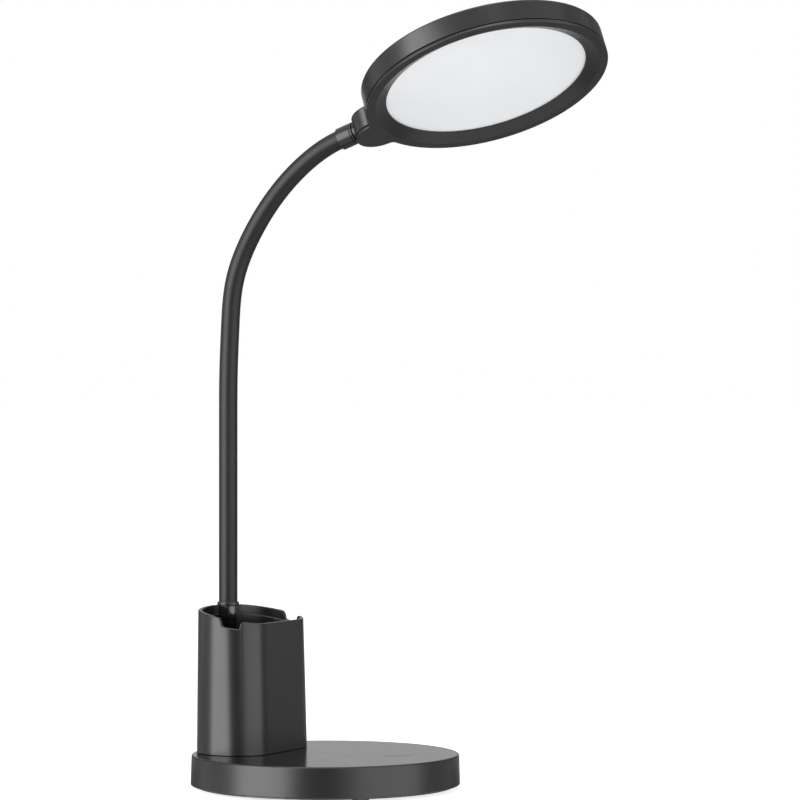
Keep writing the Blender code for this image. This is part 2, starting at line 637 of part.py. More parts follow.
def add_cup_liner():
    low = BASE_TOP + GAP
    floor_low = low + LINER_FLOOR_LIFT
    floor_high = floor_low + LINER_FLOOR_THICKNESS
    outer = CUP_WALL + GAP
    inner = outer + LINER_WALL
    rings = [level_ring(cup_outline(inner), floor_low), level_ring(cup_outline(inner), low),
             level_ring(cup_outline(outer), low), rim_ring(cup_outline(outer, 1.0), LEDGE_DROP + RIM_ROUND),
             rim_ring(cup_outline(outer + RIM_ROUND, 1.0), LEDGE_DROP),
             rim_ring(cup_outline(inner, 1.0), LEDGE_DROP), level_ring(cup_outline(inner), floor_high)]
    liner = add_mesh("cup_liner", solid_loft(rings), BLACK_PLASTIC)
    column = disc(COLUMN_RADIUS, low, BASE_TOP + COLUMN_TOP, MEDIUM_SIDES)
    fuse(liner, add_mesh("tool_column", column, matrix=shifted(-POST_DISTANCE, 0)))
    bore = disc(STUD_RADIUS + GAP, low - OVERRUN, BASE_TOP + COLUMN_TOP + OVERRUN, SMALL_SIDES)
    cut(liner, add_mesh("tool_column_bore", bore, matrix=shifted(-POST_DISTANCE, 0)))
    hole_top = COVER_INSIDE - GAP + CUP_SCREW["length"] + GAP
    for index, place in enumerate(cup_screw_places()):
        boss = disc(BOSS_RADIUS, low, floor_low + EMBED, SMALL_SIDES)
        fuse(liner, add_mesh(f"tool_cup_boss_{index}", boss, matrix=shifted(*place)))
        hole = disc(CUP_SCREW["shank_radius"] + GAP, low - OVERRUN, hole_top, SCREW_SIDES)
        cut(liner, add_mesh(f"tool_cup_bore_{index}", hole, matrix=shifted(*place)))
        head_bottom = COVER_INSIDE - GAP - CUP_SCREW["head_height"]
        add_screw(f"cup_screw_{index + 1}", CUP_SCREW, place, head_bottom)


# Lower end of the neck

def add_neck_fixing():
    post = shifted(-POST_DISTANCE, 0)
    ferrule_low = BASE_TOP + COLUMN_TOP + GAP
    mouth = NECK_START
    flange_low = mouth - LOWER_FLANGE_HEIGHT
    neck_seat = mouth - LOWER_SOCKET_DEPTH
    bore = CORE_RADIUS + GAP
    grip_top = ferrule_low + STUD_GRIP
    profile = [(LOWER_TAPER_RADIUS, ferrule_low), (LOWER_BODY_RADIUS, flange_low - LOWER_BODY_RADIUS),
               (LOWER_BODY_RADIUS, flange_low), (LOWER_FLANGE_RADIUS, flange_low),
               (LOWER_FLANGE_RADIUS, mouth - LOWER_FLANGE_BEVEL),
               (LOWER_FLANGE_RADIUS - LOWER_FLANGE_BEVEL / 2, mouth),
               (NECK_RADIUS + GAP, mouth), (NECK_RADIUS + GAP, neck_seat), (bore, neck_seat),
               (bore, grip_top), (STUD_RADIUS + GAP, grip_top), (STUD_RADIUS + GAP, ferrule_low)]
    add_mesh("lower_ferrule", turned_ring(profile, MEDIUM_SIDES), BLACK_GLOSS, matrix=post)
    stud_low = COVER_INSIDE - STUD_TAIL
    stud = pipe(STUD_RADIUS, STUD_BORE, stud_low, grip_top - GAP, SMALL_SIDES)
    add_mesh("neck_stud", stud, ZINC, matrix=post)
    washer_top = COVER_INSIDE - GAP
    washer_low = washer_top - WASHER_THICKNESS
    washer = pipe(WASHER_RADIUS, STUD_RADIUS + GAP, washer_low, washer_top, MEDIUM_SIDES)
    add_mesh("neck_washer", washer, ZINC, matrix=post)
    nut_top = washer_low - GAP
    hexagon = disc(NUT_CORNER_RADIUS, nut_top - NUT_HEIGHT, nut_top, NUT_SIDES)
    nut = add_mesh("neck_nut", hexagon, ZINC, matrix=post, smooth=False)
    nut_bore = disc(STUD_RADIUS + GAP, nut_top - NUT_HEIGHT - OVERRUN, nut_top + OVERRUN, SMALL_SIDES)
    cut(nut, add_mesh("tool_nut_bore", nut_bore, matrix=post))


# Neck

def bend_rate(length):
    """Curvature of the neck at a length along it, from the shares at the joints."""
    area = sum((a + b) / 2 for a, b in zip(NECK_BEND_SHARES, NECK_BEND_SHARES[1:]))
    place = min(max(length / LINK_LENGTH, 0), NECK_LINKS)
    index = min(int(place), NECK_LINKS - 1)
    blend = place - index
    share = NECK_BEND_SHARES[index] * (1 - blend) + NECK_BEND_SHARES[index + 1] * blend
    return NECK_BEND * share / (area * LINK_LENGTH)


def neck_frame(length):
    """Frame on the centre line: +Z along the neck, +X to the outside of a forward bend."""
    span = min(max(length, 0), NECK_LENGTH)
    steps = max(1, math.ceil(span / LINK_LENGTH * PATH_STEPS))
    step = span / steps
    forward = 0.0
    height = 0.0
    angle = 0.0
    for index in range(steps):
        turn = bend_rate((index + 1 / 2) * step) * step
        middle = angle + turn / 2
        forward += math.sin(middle) * step
        height += math.cos(middle) * step
        angle += turn
    extra = length - span
    forward += math.sin(angle) * extra
    height += math.cos(angle) * extra
    heading = Matrix.Rotation(NECK_HEADING, 4, "Z")
    post = Matrix.Translation((-POST_DISTANCE, 0, NECK_START))
    reach = Matrix.Translation((forward, 0, height))
    return post @ heading @ reach @ Matrix.Rotation(angle, 4, "Y")


def ball_height(ball, radius):
    return math.sqrt(ball ** 2 - radius ** 2)


def link_steps(index):
    bent = NECK_BEND_SHARES[index] + NECK_BEND_SHARES[index + 1] > 0
    return CURVED_STEPS if bent else STRAIGHT_STEPS


def add_sleeve(index, parent, inverse):
    """One length of the sleeve, with a ball end above and a ball cup below."""
    start = LINK_LENGTH * index
    end = LINK_LENGTH * (index + 1)
    first = index == 0
    last = index == NECK_LINKS - 1
    ball = NECK_RADIUS
    cup = NECK_RADIUS + BALL_CLEARANCE
    middle = (NECK_RADIUS + SLEEVE_BORE) / 2
    low = -LOWER_SOCKET_DEPTH + GAP if first else start + ball_height(cup, NECK_RADIUS)
    high = end + UPPER_SOCKET_DEPTH - GAP if last else end
    bore_low = low if first else start + ball_height(cup, SLEEVE_BORE)
    bore_high = high if last else end + ball_height(ball, SLEEVE_BORE)
    steps = link_steps(index)
    outer = [round_ring(NECK_RADIUS, 0, NECK_SIDES, neck_frame(low + (high - low) * step / steps))
             for step in range(steps + 1)]
    bore = [round_ring(SLEEVE_BORE, 0, NECK_SIDES,
                       neck_frame(bore_high + (bore_low - bore_high) * step / steps))
            for step in range(steps + 1)]
    dome = []
    hollow = []
    if not last:
        dome = [round_ring(middle, ball_height(ball, middle), NECK_SIDES, neck_frame(end))]
    if not first:
        hollow = [round_ring(middle, ball_height(cup, middle), NECK_SIDES, neck_frame(start))]
    rings = [[inverse @ point for point in ring] for ring in outer + dome + bore + hollow]
    add_mesh(f"neck_sleeve_{index + 1:02d}", tube_loft(rings), BLACK_SLEEVE, parent=parent)


def add_core(index, parent, inverse):
    """One length of the steel core, which shares the ball joints of the sleeve."""
    start = LINK_LENGTH * index
    end = LINK_LENGTH * (index + 1)
    first = index == 0
    last = index == NECK_LINKS - 1
    ball = NECK_RADIUS
    cup = NECK_RADIUS + BALL_CLEARANCE
    middle = CORE_RADIUS / 2
    low = -CORE_TAIL if first else start + ball_height(cup, CORE_RADIUS)
    high = end + UPPER_CORE_DEPTH if last else end + ball_height(ball, CORE_RADIUS)
    steps = link_steps(index)
    rings = [round_ring(CORE_RADIUS, 0, CORE_SIDES, neck_frame(low + (high - low) * step / steps))
             for step in range(steps + 1)]
    if not first:
        rings.insert(0, round_ring(middle, ball_height(cup, middle), CORE_SIDES, neck_frame(start)))
    if not last:
        rings.append(round_ring(middle, ball_height(ball, middle), CORE_SIDES, neck_frame(end)))
    rings = [[inverse @ point for point in ring] for ring in rings]
    add_mesh(f"neck_core_{index + 1:02d}", solid_loft(rings), STEEL, parent=parent)


def add_neck():
    for index in range(NECK_LINKS):
        frame = neck_frame(LINK_LENGTH * index)
        joint = add_empty(f"joint_{index:02d}", frame)
        inverse = frame.inverted()
        add_sleeve(index, joint, inverse)
        add_core(index, joint, inverse)


def add_upper_ferrule():
    """Ferrule, washer and nut at the end of the neck; +Z runs from the mouth to the head."""
    frame = neck_frame(NECK_LENGTH)
    joint = add_empty("neck_end", frame)
    face = UPPER_FERRULE_LENGTH
    washer_low = face + GAP + LUG_FACE_DEPTH + GAP
    washer_high = washer_low + SWIVEL_WASHER_THICKNESS
    nut_low = washer_high + GAP
    nut_high = nut_low + SWIVEL_NUT_HEIGHT
    tail = nut_high + BARREL_TAIL
    bevel = UPPER_FERRULE_BEVEL
    neck_hole = NECK_RADIUS + GAP
    core_hole = CORE_RADIUS + GAP
    core_seat = UPPER_CORE_DEPTH + GAP
    profile = [(neck_hole, 0), (UPPER_FERRULE_RADIUS - bevel, 0), (UPPER_FERRULE_RADIUS, bevel),
               (UPPER_FERRULE_RADIUS, face - bevel), (UPPER_FERRULE_RADIUS - bevel, face),
               (BARREL_RADIUS, face), (BARREL_RADIUS, tail), (BARREL_BORE, tail),
               (BARREL_BORE, core_seat), (core_hole, core_seat), (core_hole, UPPER_SOCKET_DEPTH),
               (neck_hole, UPPER_SOCKET_DEPTH)]
    add_mesh("upper_ferrule", turned_ring(profile, MEDIUM_SIDES), BLACK_GLOSS, parent=joint)
    washer = pipe(SWIVEL_NUT_RADIUS, BARREL_RADIUS + GAP, washer_low, washer_high, SMALL_SIDES)
    add_mesh("swivel_washer", washer, ZINC, parent=joint)
    hexagon = disc(SWIVEL_NUT_RADIUS, nut_low, nut_high, NUT_SIDES)
    nut = add_mesh("swivel_nut", hexagon, ZINC, parent=joint, smooth=False)
    bore = disc(BARREL_RADIUS + GAP, nut_low - OVERRUN, nut_high + OVERRUN, SMALL_SIDES)
    cut(nut, add_mesh("tool_swivel_bore", bore, parent=joint))


# Head

def head_frame():
    """Frame at the centre of the head: +X away from the neck, +Z out of its back."""
    lay = Matrix.Rotation(-math.pi / 2, 4, "Y")
    roll = Matrix.Rotation(HEAD_ROLL, 4, "X")
    middle = Matrix.Translation((0, 0, -HEAD_AXIS_OFFSET))
    return neck_frame(NECK_LENGTH + HEAD_REACH) @ lay @ roll @ middle


def keyhole(inset):
    """Outline of the head: a disc with a round lug on its neck side, blended by fillets."""
    far = HEAD_RADIUS + LUG_FILLET
    near = LUG_RADIUS + LUG_FILLET
    fillet_x = -(far ** 2 - near ** 2 + HEAD_RADIUS ** 2) / (2 * HEAD_RADIUS)
    fillet_y = math.sqrt(far ** 2 - fillet_x ** 2)
    around = math.atan2(fillet_y, fillet_x)
    lug_turn = math.atan2(fillet_y, fillet_x + HEAD_RADIUS)
    half = arc((0, 0), HEAD_RADIUS - inset, 0, around, HEAD_ARC_STEPS)
    half += arc((fillet_x, fillet_y), LUG_FILLET + inset, around - math.pi, lug_turn - math.pi,
                FILLET_STEPS)[1:]
    half += arc((-HEAD_RADIUS, 0), LUG_RADIUS - inset, lug_turn, math.pi, LUG_STEPS)[1:]
    return mirrored(half)


def window_ring(radius):
    """A circle with its points in the directions of the keyhole outline's points."""
    return [(radius * math.cos(math.atan2(y, x)), radius * math.sin(math.atan2(y, x)))
            for x, y in keyhole(0)]


def add_head_housing(parent):
    seam = SEAM + GAP
    back = HALF_HEAD
    rings = [level_ring(keyhole(HEAD_WALL), back - HEAD_WALL), level_ring(keyhole(HEAD_WALL), seam),
             level_ring(keyhole(0), seam)]
    for step in range(ARC_STEPS):
        angle = math.pi / 2 * step / (ARC_STEPS - 1)
        inset = HEAD_BACK_EDGE * (1 - math.cos(angle))
        rings.append(level_ring(keyhole(inset), back - HEAD_BACK_EDGE * (1 - math.sin(angle))))
    housing = add_mesh("head_housing", solid_loft(rings), BLACK_PLASTIC, parent=parent)
    strip_outer = GUIDE_RADIUS + GAP + LED_DEPTH + STRIP_THICKNESS + GAP
    rib = pipe(strip_outer + RIB_THICKNESS, strip_outer, guide_front(), back - HEAD_WALL + EMBED,
               FINE_SIDES)
    fuse(housing, add_mesh("tool_rib", rib, parent=parent))
    along = Matrix.Rotation(math.pi / 2, 4, "Y")
    face = Matrix.Translation((-HEAD_RADIUS - LUG_RADIUS, 0, HEAD_AXIS_OFFSET)) @ along
    boss = add_mesh("tool_lug_face", disc(LUG_FACE_RADIUS, 0, LUG_FACE_DEPTH, MEDIUM_SIDES),
                    parent=parent, matrix=face)
    reach = HEAD_RADIUS + LUG_RADIUS + OVERRUN
    trim = block((-reach, -LUG_RADIUS, -HEAD_THICKNESS), (0, LUG_RADIUS, seam + GAP))
    cut(boss, add_mesh("tool_seam_trim", trim, parent=parent, smooth=False))
    fuse(housing, boss)
    bore = disc(BARREL_RADIUS + GAP, -OVERRUN, LUG_FACE_DEPTH + OVERRUN, SMALL_SIDES)
    cut(housing, add_mesh("tool_swivel_hole", bore, parent=parent, matrix=face))


def add_head_bezel(parent):
    front = -HALF_HEAD
    seam = SEAM
    skirt_out = HEAD_WALL + GAP
    skirt_in = skirt_out + SKIRT_THICKNESS
    skirt_top = seam + SKIRT_HEIGHT
    lip_back = front + WINDOW_DEPTH + LIP_THICKNESS
    slope_top = HEAD_RADIUS - BEZEL_FLAT_WIDTH
    rings = [level_ring(window_ring(slope_top), front), level_ring(keyhole(BEZEL_BEVEL), front),
             level_ring(keyhole(0), front + BEZEL_BEVEL), level_ring(keyhole(0), seam),
             level_ring(keyhole(skirt_out), seam), level_ring(keyhole(skirt_out), skirt_top),
             level_ring(keyhole(skirt_in), skirt_top), level_ring(keyhole(skirt_in), seam),
             level_ring(window_ring(WINDOW_RADIUS + LIP_WIDTH), lip_back),
             level_ring(window_ring(WINDOW_RADIUS), lip_back),
             level_ring(window_ring(WINDOW_RADIUS), front + WINDOW_DEPTH)]
    bezel = add_mesh("head_bezel", tube_loft(rings), BLACK_PLASTIC, parent=parent)
    end = HEAD_RADIUS + LUG_RADIUS
    side = LUG_FACE_RADIUS + GAP
    opening = block((-end - OVERRUN, -side, seam + GAP),
                    (skirt_in + LUG_FACE_RADIUS / 2 - end, side, skirt_top + OVERRUN))
    cut(bezel, add_mesh("tool_skirt_opening", opening, parent=parent, smooth=False))


def diffuser_front():
    return -HALF_HEAD + WINDOW_DEPTH + LIP_THICKNESS + GAP


def guide_front():
    return diffuser_front() + DIFFUSER_THICKNESS + GAP


def add_optics(parent):
    low = diffuser_front()
    diffuser = disc(DIFFUSER_RADIUS, low, low + DIFFUSER_THICKNESS, FINE_SIDES)
    add_mesh("diffuser", diffuser, OPAL, parent=parent)
    low = guide_front()
    guide_back = low + GUIDE_THICKNESS
    add_mesh("light_guide", disc(GUIDE_RADIUS, low, guide_back, FINE_SIDES), CLEAR_ACRYLIC, parent=parent)
    film_low = guide_back + GAP
    film = disc(GUIDE_RADIUS, film_low, film_low + REFLECTOR_THICKNESS, FINE_SIDES)
    add_mesh("reflector_film", film, WHITE_FILM, parent=parent)
    inner = GUIDE_RADIUS + GAP + LED_DEPTH
    strip = add_mesh("led_strip", pipe(inner + STRIP_THICKNESS, inner, low, low + STRIP_HEIGHT, FINE_SIDES),
                     BOARD_WHITE, parent=parent)
    middle = low + STRIP_HEIGHT / 2
    build = bmesh.new()
    for index in range(LED_COUNT):
        turn = Matrix.Rotation(math.tau * (index + 0.5) / LED_COUNT, 4, "Z")
        add_led(build, turn, inner - LED_DEPTH, inner + EMBED, middle)
    fuse(strip, add_mesh("tool_leds", build, parent=parent, smooth=False))


def add_led(build, turn, near, far, middle):
    corners = [(near, -LED_WIDTH / 2), (far, -LED_WIDTH / 2), (far, LED_WIDTH / 2), (near, LED_WIDTH / 2)]
    loops = []
    for height in (middle - LED_HEIGHT / 2, middle + LED_HEIGHT / 2):
        loops.append([build.verts.new(turn @ Vector((x, y, height))) for x, y in corners])
    bridge(build, loops[0], loops[1])
    for loop in loops:
        build.faces.new(loop)


def add_head():
    parent = add_empty("head_swivel", head_frame())
    add_head_housing(parent)
    add_head_bezel(parent)
    add_optics(parent)


def main():
    clear_scene()
    add_base_cover()
    add_charging_port()
    add_bottom_plate()
    add_feet_and_screws()
    add_ballast()
    add_control_board()
    add_touch_contact()
    add_cup_shell()
    add_cup_liner()
    add_neck_fixing()
    add_neck()
    add_upper_ferrule()
    add_head()


main()
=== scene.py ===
"""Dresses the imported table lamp: smooth forms, finishes, soft studio light and the photo's camera.

Sizes are in metres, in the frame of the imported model: origin on the table under the centre
of the base, +Z up, +X to the front. Names follow the model's where it has the same thing.
Places along Z are above the table, CUP_FRONT_HEIGHT is above the base, and the sizes of the
ferrules run along the neck.
"""
import math

import bmesh
import bpy
from mathutils import Matrix, Vector


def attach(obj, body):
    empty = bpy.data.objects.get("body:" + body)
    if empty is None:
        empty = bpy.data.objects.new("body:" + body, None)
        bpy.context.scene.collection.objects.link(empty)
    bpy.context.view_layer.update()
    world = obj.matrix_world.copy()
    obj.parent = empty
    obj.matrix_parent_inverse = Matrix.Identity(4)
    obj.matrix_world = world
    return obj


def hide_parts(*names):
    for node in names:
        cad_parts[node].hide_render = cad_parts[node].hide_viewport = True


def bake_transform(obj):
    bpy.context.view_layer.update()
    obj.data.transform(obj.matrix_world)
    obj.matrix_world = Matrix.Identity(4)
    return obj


# Clearances, facets and shading
GAP = 0.0003
OVERRUN = 0.0020
ROUND_SIDES = 160
TUBE_SIDES = 64
EDGE_STEPS = 6
SMOOTH_ANGLE = math.radians(36.0)
TOP_NORMAL = 0.98
NORMAL_WEIGHT = 80

# Base
BASE_RADIUS = 0.0750
BASE_DRAFT = 0.0005
BASE_BOTTOM = 0.0026
BASE_TOP = 0.0195
BASE_WALL = 0.0024
BASE_EDGE_RADIUS = 0.0012
BASE_FOOT_EDGE = 0.0005
KEY_DISTANCE = 0.0450
KEY_RADIUS = 0.0095
KEY_DEPTH = 0.0002
KEY_SLOPE = 0.0030
KEY_SLOPE_SAG = 0.8
PORT_ANGLE = math.radians(152.0)
PORT_HEIGHT = 0.0109
PORT_NOSE = (0.0049, 0.0021)

# Cup
CUP_BACK_RADIUS = 0.0727
CUP_HALF_WIDTH = 0.0397
CUP_FRONT_SETBACK = 0.0247
CUP_FRONT_CORNER = 0.0194
CUP_BACK_CORNER = 0.0231
CUP_SIDE_DRAFT = 0.0007
CUP_FRONT_DRAFT = 0.0019
CUP_FRONT_HEIGHT = 0.0729
RIM_RISE_SHARE = 0.177
CUP_WALL = 0.0022
RIM_ROUND = 0.0007
LEDGE_DROP = 0.0050
LINER_WALL = 0.0018
LINER_FLOOR = 0.0288
LINER_FILLET = 0.0025
DENSE_STEPS = 60
BACK_STEPS = 20
WALL_STEPS = 4
FLOOR_STEPS = 8
NOTCH_CENTRE = -0.0402
NOTCH_FLOOR = 0.0046
NOTCH_SHOULDER = 0.0051
NOTCH_MOUTH = 0.0068
NOTCH_DEPTH = 0.0046
NOTCH_CORNER = 0.0012
NOTCH_LIP = 0.0012
# Rounding of the notch's lip, in NOTCH_LIP: outward from the mouth or shoulder, and down
LIP_AT_MOUTH = ((0.75, 0.0), (0.0, 0.12), (-0.50, 0.42), (-1.0, 0.90))
LIP_AT_SHOULDER = ((0.15, 1.45), (0.0, 1.9))

# Post, neck and ferrules
POST_DISTANCE = 0.0621
COLUMN_RADIUS = 0.0072
COLUMN_TOP = 0.0846
COLUMN_BORE = 0.0037
NECK_START = 0.1020
NECK_LENGTH = 0.2883
NECK_RADIUS = 0.00527
NECK_LINKS = 11
NECK_HEADING = math.radians(4.5)
NECK_BEND = math.radians(68.6)
# How sharply the neck bends at each end of a link, against each other
NECK_BEND_SHARES = (0.0, 0.0, 0.0, 0.0, 0.0, 0.12, 0.0, 0.91, 0.40, 0.48, 0.55, 1.0)
PATH_STEPS = 48
RINGS_PER_LINK = 10
LINK_LENGTH = NECK_LENGTH / NECK_LINKS
LOWER_SOCKET_DEPTH = 0.0013
UPPER_SOCKET_DEPTH = 0.0033
FLANGE_RADIUS = 0.0062
FLANGE_HEIGHT = 0.0022
FLANGE_LIFT = 0.0009
FERRULE_RADIUS = 0.0052
FERRULE_TAPER = 0.0046
FERRULE_TAPER_HEIGHT = 0.0052
UPPER_RADIUS = 0.00633
UPPER_LENGTH = 0.0099
UPPER_GROOVE = 0.0003
UPPER_GROOVE_DROP = 0.0018
# Section of the upper ferrule's groove, in UPPER_GROOVE: up and inward
GROOVE_SECTION = ((0, 0), (1, 1), (2, 1), (3, 0))
SLEEVE_CLEARANCE = 0.0001
FINE_EDGE = 0.0004
SEAM_BEVEL = 0.0002

# Head
HEAD_ROLL = math.radians(-15.1)
HEAD_RADIUS = 0.0686
HEAD_THICKNESS = 0.0143
HEAD_AXIS_OFFSET = 0.0009
HEAD_WALL = 0.0020
HEAD_BACK_EDGE = 0.0011
LUG_RADIUS = 0.0134
LUG_FILLET = 0.0030
LUG_FACE_RADIUS = 0.0056
LUG_FACE_DEPTH = 0.0034
BEZEL_THICKNESS = 0.0018
BEZEL_BEVEL = 0.0005
BEZEL_SLOPE_EASE = 0.000125
SEAM_WIDTH = 0.0006
BEZEL_FLAT_WIDTH = 0.0052
WINDOW_RADIUS = 0.0567
WINDOW_DEPTH = 0.0034
LIP_THICKNESS = 0.0008
LIP_EDGE = 0.0004
DIFFUSER_RADIUS = 0.0592
DIFFUSER_THICKNESS = 0.0012
HEAD_STEPS = 90
LUG_STEPS = 20
FILLET_STEPS = 10
HALF_HEAD = HEAD_THICKNESS / 2
SEAM = BEZEL_THICKNESS - HALF_HEAD
HEAD_REACH = HEAD_RADIUS + LUG_RADIUS + GAP + UPPER_LENGTH

# Camera, at the photo's station
CAMERA_PLACE = (0.8946, -1.7388, 0.2174)
CAMERA_LOOK = (-0.4384, 0.8988, 0.0)
CAMERA_LENS = 157.0
CAMERA_SENSOR = 36.0

# Light
WORLD_LIGHT = 0.30
BACKGROUND = 1.0
FLOOR_SIZE = 400.0
FLOOR_COLOUR = (0.86, 0.86, 0.86, 1.0)
FLOOR_ROUGH = (0.85, 0.95)
FLOOR_CLOUD = 3.0
FLOOR_SPECULAR = 0.1
FLOOR_GLOW = 0.76
AIM = Vector((0.0, 0.0, 0.20))
# name, degrees to the right of the camera, elevation, distance, width, height, radiance
SOFT_BOXES = (
    ("soft_box_left", -54.0, 7.0, 1.9, 1.80, 2.10, 4.9),
    ("soft_box_right", 56.5, 6.0, 2.1, 2.50, 2.10, 1.35),
    ("soft_box_top", -20.0, 82.0, 1.7, 1.20, 1.20, 2.6),
)
# name, degrees to the right of the camera, distance, width, foot, height, glow
CARDS = (
    ("card_front", -4.0, 1.5, 0.80, -0.80, 2.40, 0.30),
    ("card_right", 110.0, 1.5, 1.00, -0.80, 2.40, 0.40),
    ("card_behind", 180.0, 1.7, 0.80, 0.03, 0.60, 0.55),
    ("card_back_right", 146.0, 1.5, 0.85, -0.80, 2.40, 0.14),
    ("card_left", -112.0, 1.5, 1.00, -0.80, 2.40, 0.70),
    ("card_back_left", -146.0, 1.5, 0.85, -0.80, 2.40, 0.14),
)
CARD_COLOUR = ((0.01, 0.01, 0.01), (0.02, 0.02, 0.02))
CARD_ROUGH = (0.80, 0.90)
BEHIND = 180.0
SHEET_NEAR = 0.12
SHEET_FAR = 1.10
SHEET_WIDTH = 1.60
SHEET_LIFT = 0.001
SHEET_GLOW = 0.28

# Finishes: the noise they are made of, then colours as a dark and a light cloud
WHITE = (1.0, 1.0, 1.0, 1.0)
NOISE_LOW = 0.3
NOISE_HIGH = 0.7
SOFT_DETAIL = 2.0
CLOUD_DETAIL = 3.0
SMEAR_DETAIL = 4.0
SMEAR_SCALE = 4
GRAIN_STRENGTH = 0.5
BLACK = ((0.005, 0.005, 0.0055), (0.008, 0.008, 0.0085))
DEEP_BLACK = ((0.004, 0.004, 0.0045), (0.006, 0.006, 0.0065))
MATTE_BLACK = ((0.006, 0.006, 0.0065), (0.010, 0.010, 0.0105))
SATIN_GRAIN = 300.0
SATIN_DEPTH = 0.0000005
OPAL = ((0.60, 0.61, 0.62), (0.66, 0.67, 0.68))
OPAL_CLOUD = 14.0
OPAL_ROUGH = (0.42, 0.50)
OPAL_GLOW = 0.45
OPAL_GRAIN = 1800.0
OPAL_GRAIN_STRENGTH = 0.3
OPAL_DEPTH = 0.00001


# Meshes

def add_piece(name, build, body, nodes, matrix=None, weighted=True):
    """Turn a bmesh into a piece that rides a body and stands for CAD nodes."""
    bmesh.ops.recalc_face_normals(build, faces=build.faces)
    mesh = bpy.data.meshes.new(name)
    build.to_mesh(mesh)
    build.free()
    if matrix is not None:
        mesh.transform(matrix)
    mesh.shade_smooth()
    mesh.set_sharp_from_angle(angle=SMOOTH_ANGLE)
    piece = bpy.data.objects.new(name, mesh)
    bpy.context.scene.collection.objects.link(piece)
    if body is not None:
        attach(piece, body)
    if nodes:
        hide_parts(*nodes)
    if weighted:
        add_weighting(piece)
    return piece


def add_weighting(piece):
    """Shade by the larger faces, so that flats beside rounded edges look flat."""
    weighting = piece.modifiers.new("even_shading", "WEIGHTED_NORMAL")
    weighting.keep_sharp = True
    weighting.weight = NORMAL_WEIGHT


def apply_modifiers(piece):
    """Bake the modifiers, so that the mesh is final."""
    bpy.context.view_layer.update()
    shown = piece.evaluated_get(bpy.context.evaluated_depsgraph_get())
    mesh = bpy.data.meshes.new_from_object(shown)
    piece.modifiers.clear()
    piece.data = mesh


def cut(piece, build):
    """Cut a closed bmesh out of a piece, for good."""
    bmesh.ops.recalc_face_normals(build, faces=build.faces)
    mesh = bpy.data.meshes.new("cutter")
    build.to_mesh(mesh)
    build.free()
    mesh.shade_smooth()
    tool = bpy.data.objects.new("cutter", mesh)
    bpy.context.scene.collection.objects.link(tool)
    piece.modifiers.clear()
    modifier = piece.modifiers.new("cut", "BOOLEAN")
    modifier.operation = "DIFFERENCE"
    modifier.object = tool
    apply_modifiers(piece)
    bpy.data.objects.remove(tool)
    piece.data.shade_smooth()
    piece.data.set_sharp_from_angle(angle=SMOOTH_ANGLE)


def bridge(build, lower, upper):
    count = len(lower)
    for step in range(count):
        following = (step + 1) % count
        build.faces.new((lower[step], lower[following], upper[following], upper[step]))


def loft(rings, closed_wall=False, capped=True):
    """Join rings in order, with a cap at each end or the last ring joined to the first."""
    build = bmesh.new()
    loops = [[build.verts.new(point) for point in ring] for ring in rings]
    following = loops[1:] + (loops[:1] if closed_wall else [])
    for lower, upper in zip(loops, following):
        bridge(build, lower, upper)
    if capped and not closed_wall:
        build.faces.new(loops[0])
        build.faces.new(loops[-1])
    return build


def circle(radius, height, sides):
    return [Vector((radius * math.cos(math.tau * (step + 0.5) / sides),
                    radius * math.sin(math.tau * (step + 0.5) / sides), height))
            for step in range(sides)]


def lathe(profile, sides):
    """A ring of revolution about Z from a closed profile clear of the axis."""
    return loft([circle(radius, height, sides) for radius, height in profile], closed_wall=True)


def solid_lathe(profile, sides):
    return loft([circle(radius, height, sides) for radius, height in profile])


def arc(centre, radius, start, end, steps):
    return [(centre[0] + radius * math.cos(start + (end - start) * step / steps),
             centre[1] + radius * math.sin(start + (end - start) * step / steps))
            for step in range(steps + 1)]


def corner(x, y, radius, start):
    """A rounded profile corner about (x, y): a quarter turn from a start given in right angles."""
    return arc((x, y), radius, start * math.pi / 2, (start + 1) * math.pi / 2, EDGE_STEPS)


def level(outline, height):
    return [Vector((x, y, height)) for x, y in outline]


def mirrored(half):
    """Close a half outline across the X axis."""
    return half + [(x, -y) for x, y in reversed(half[1:-1])]


# Base

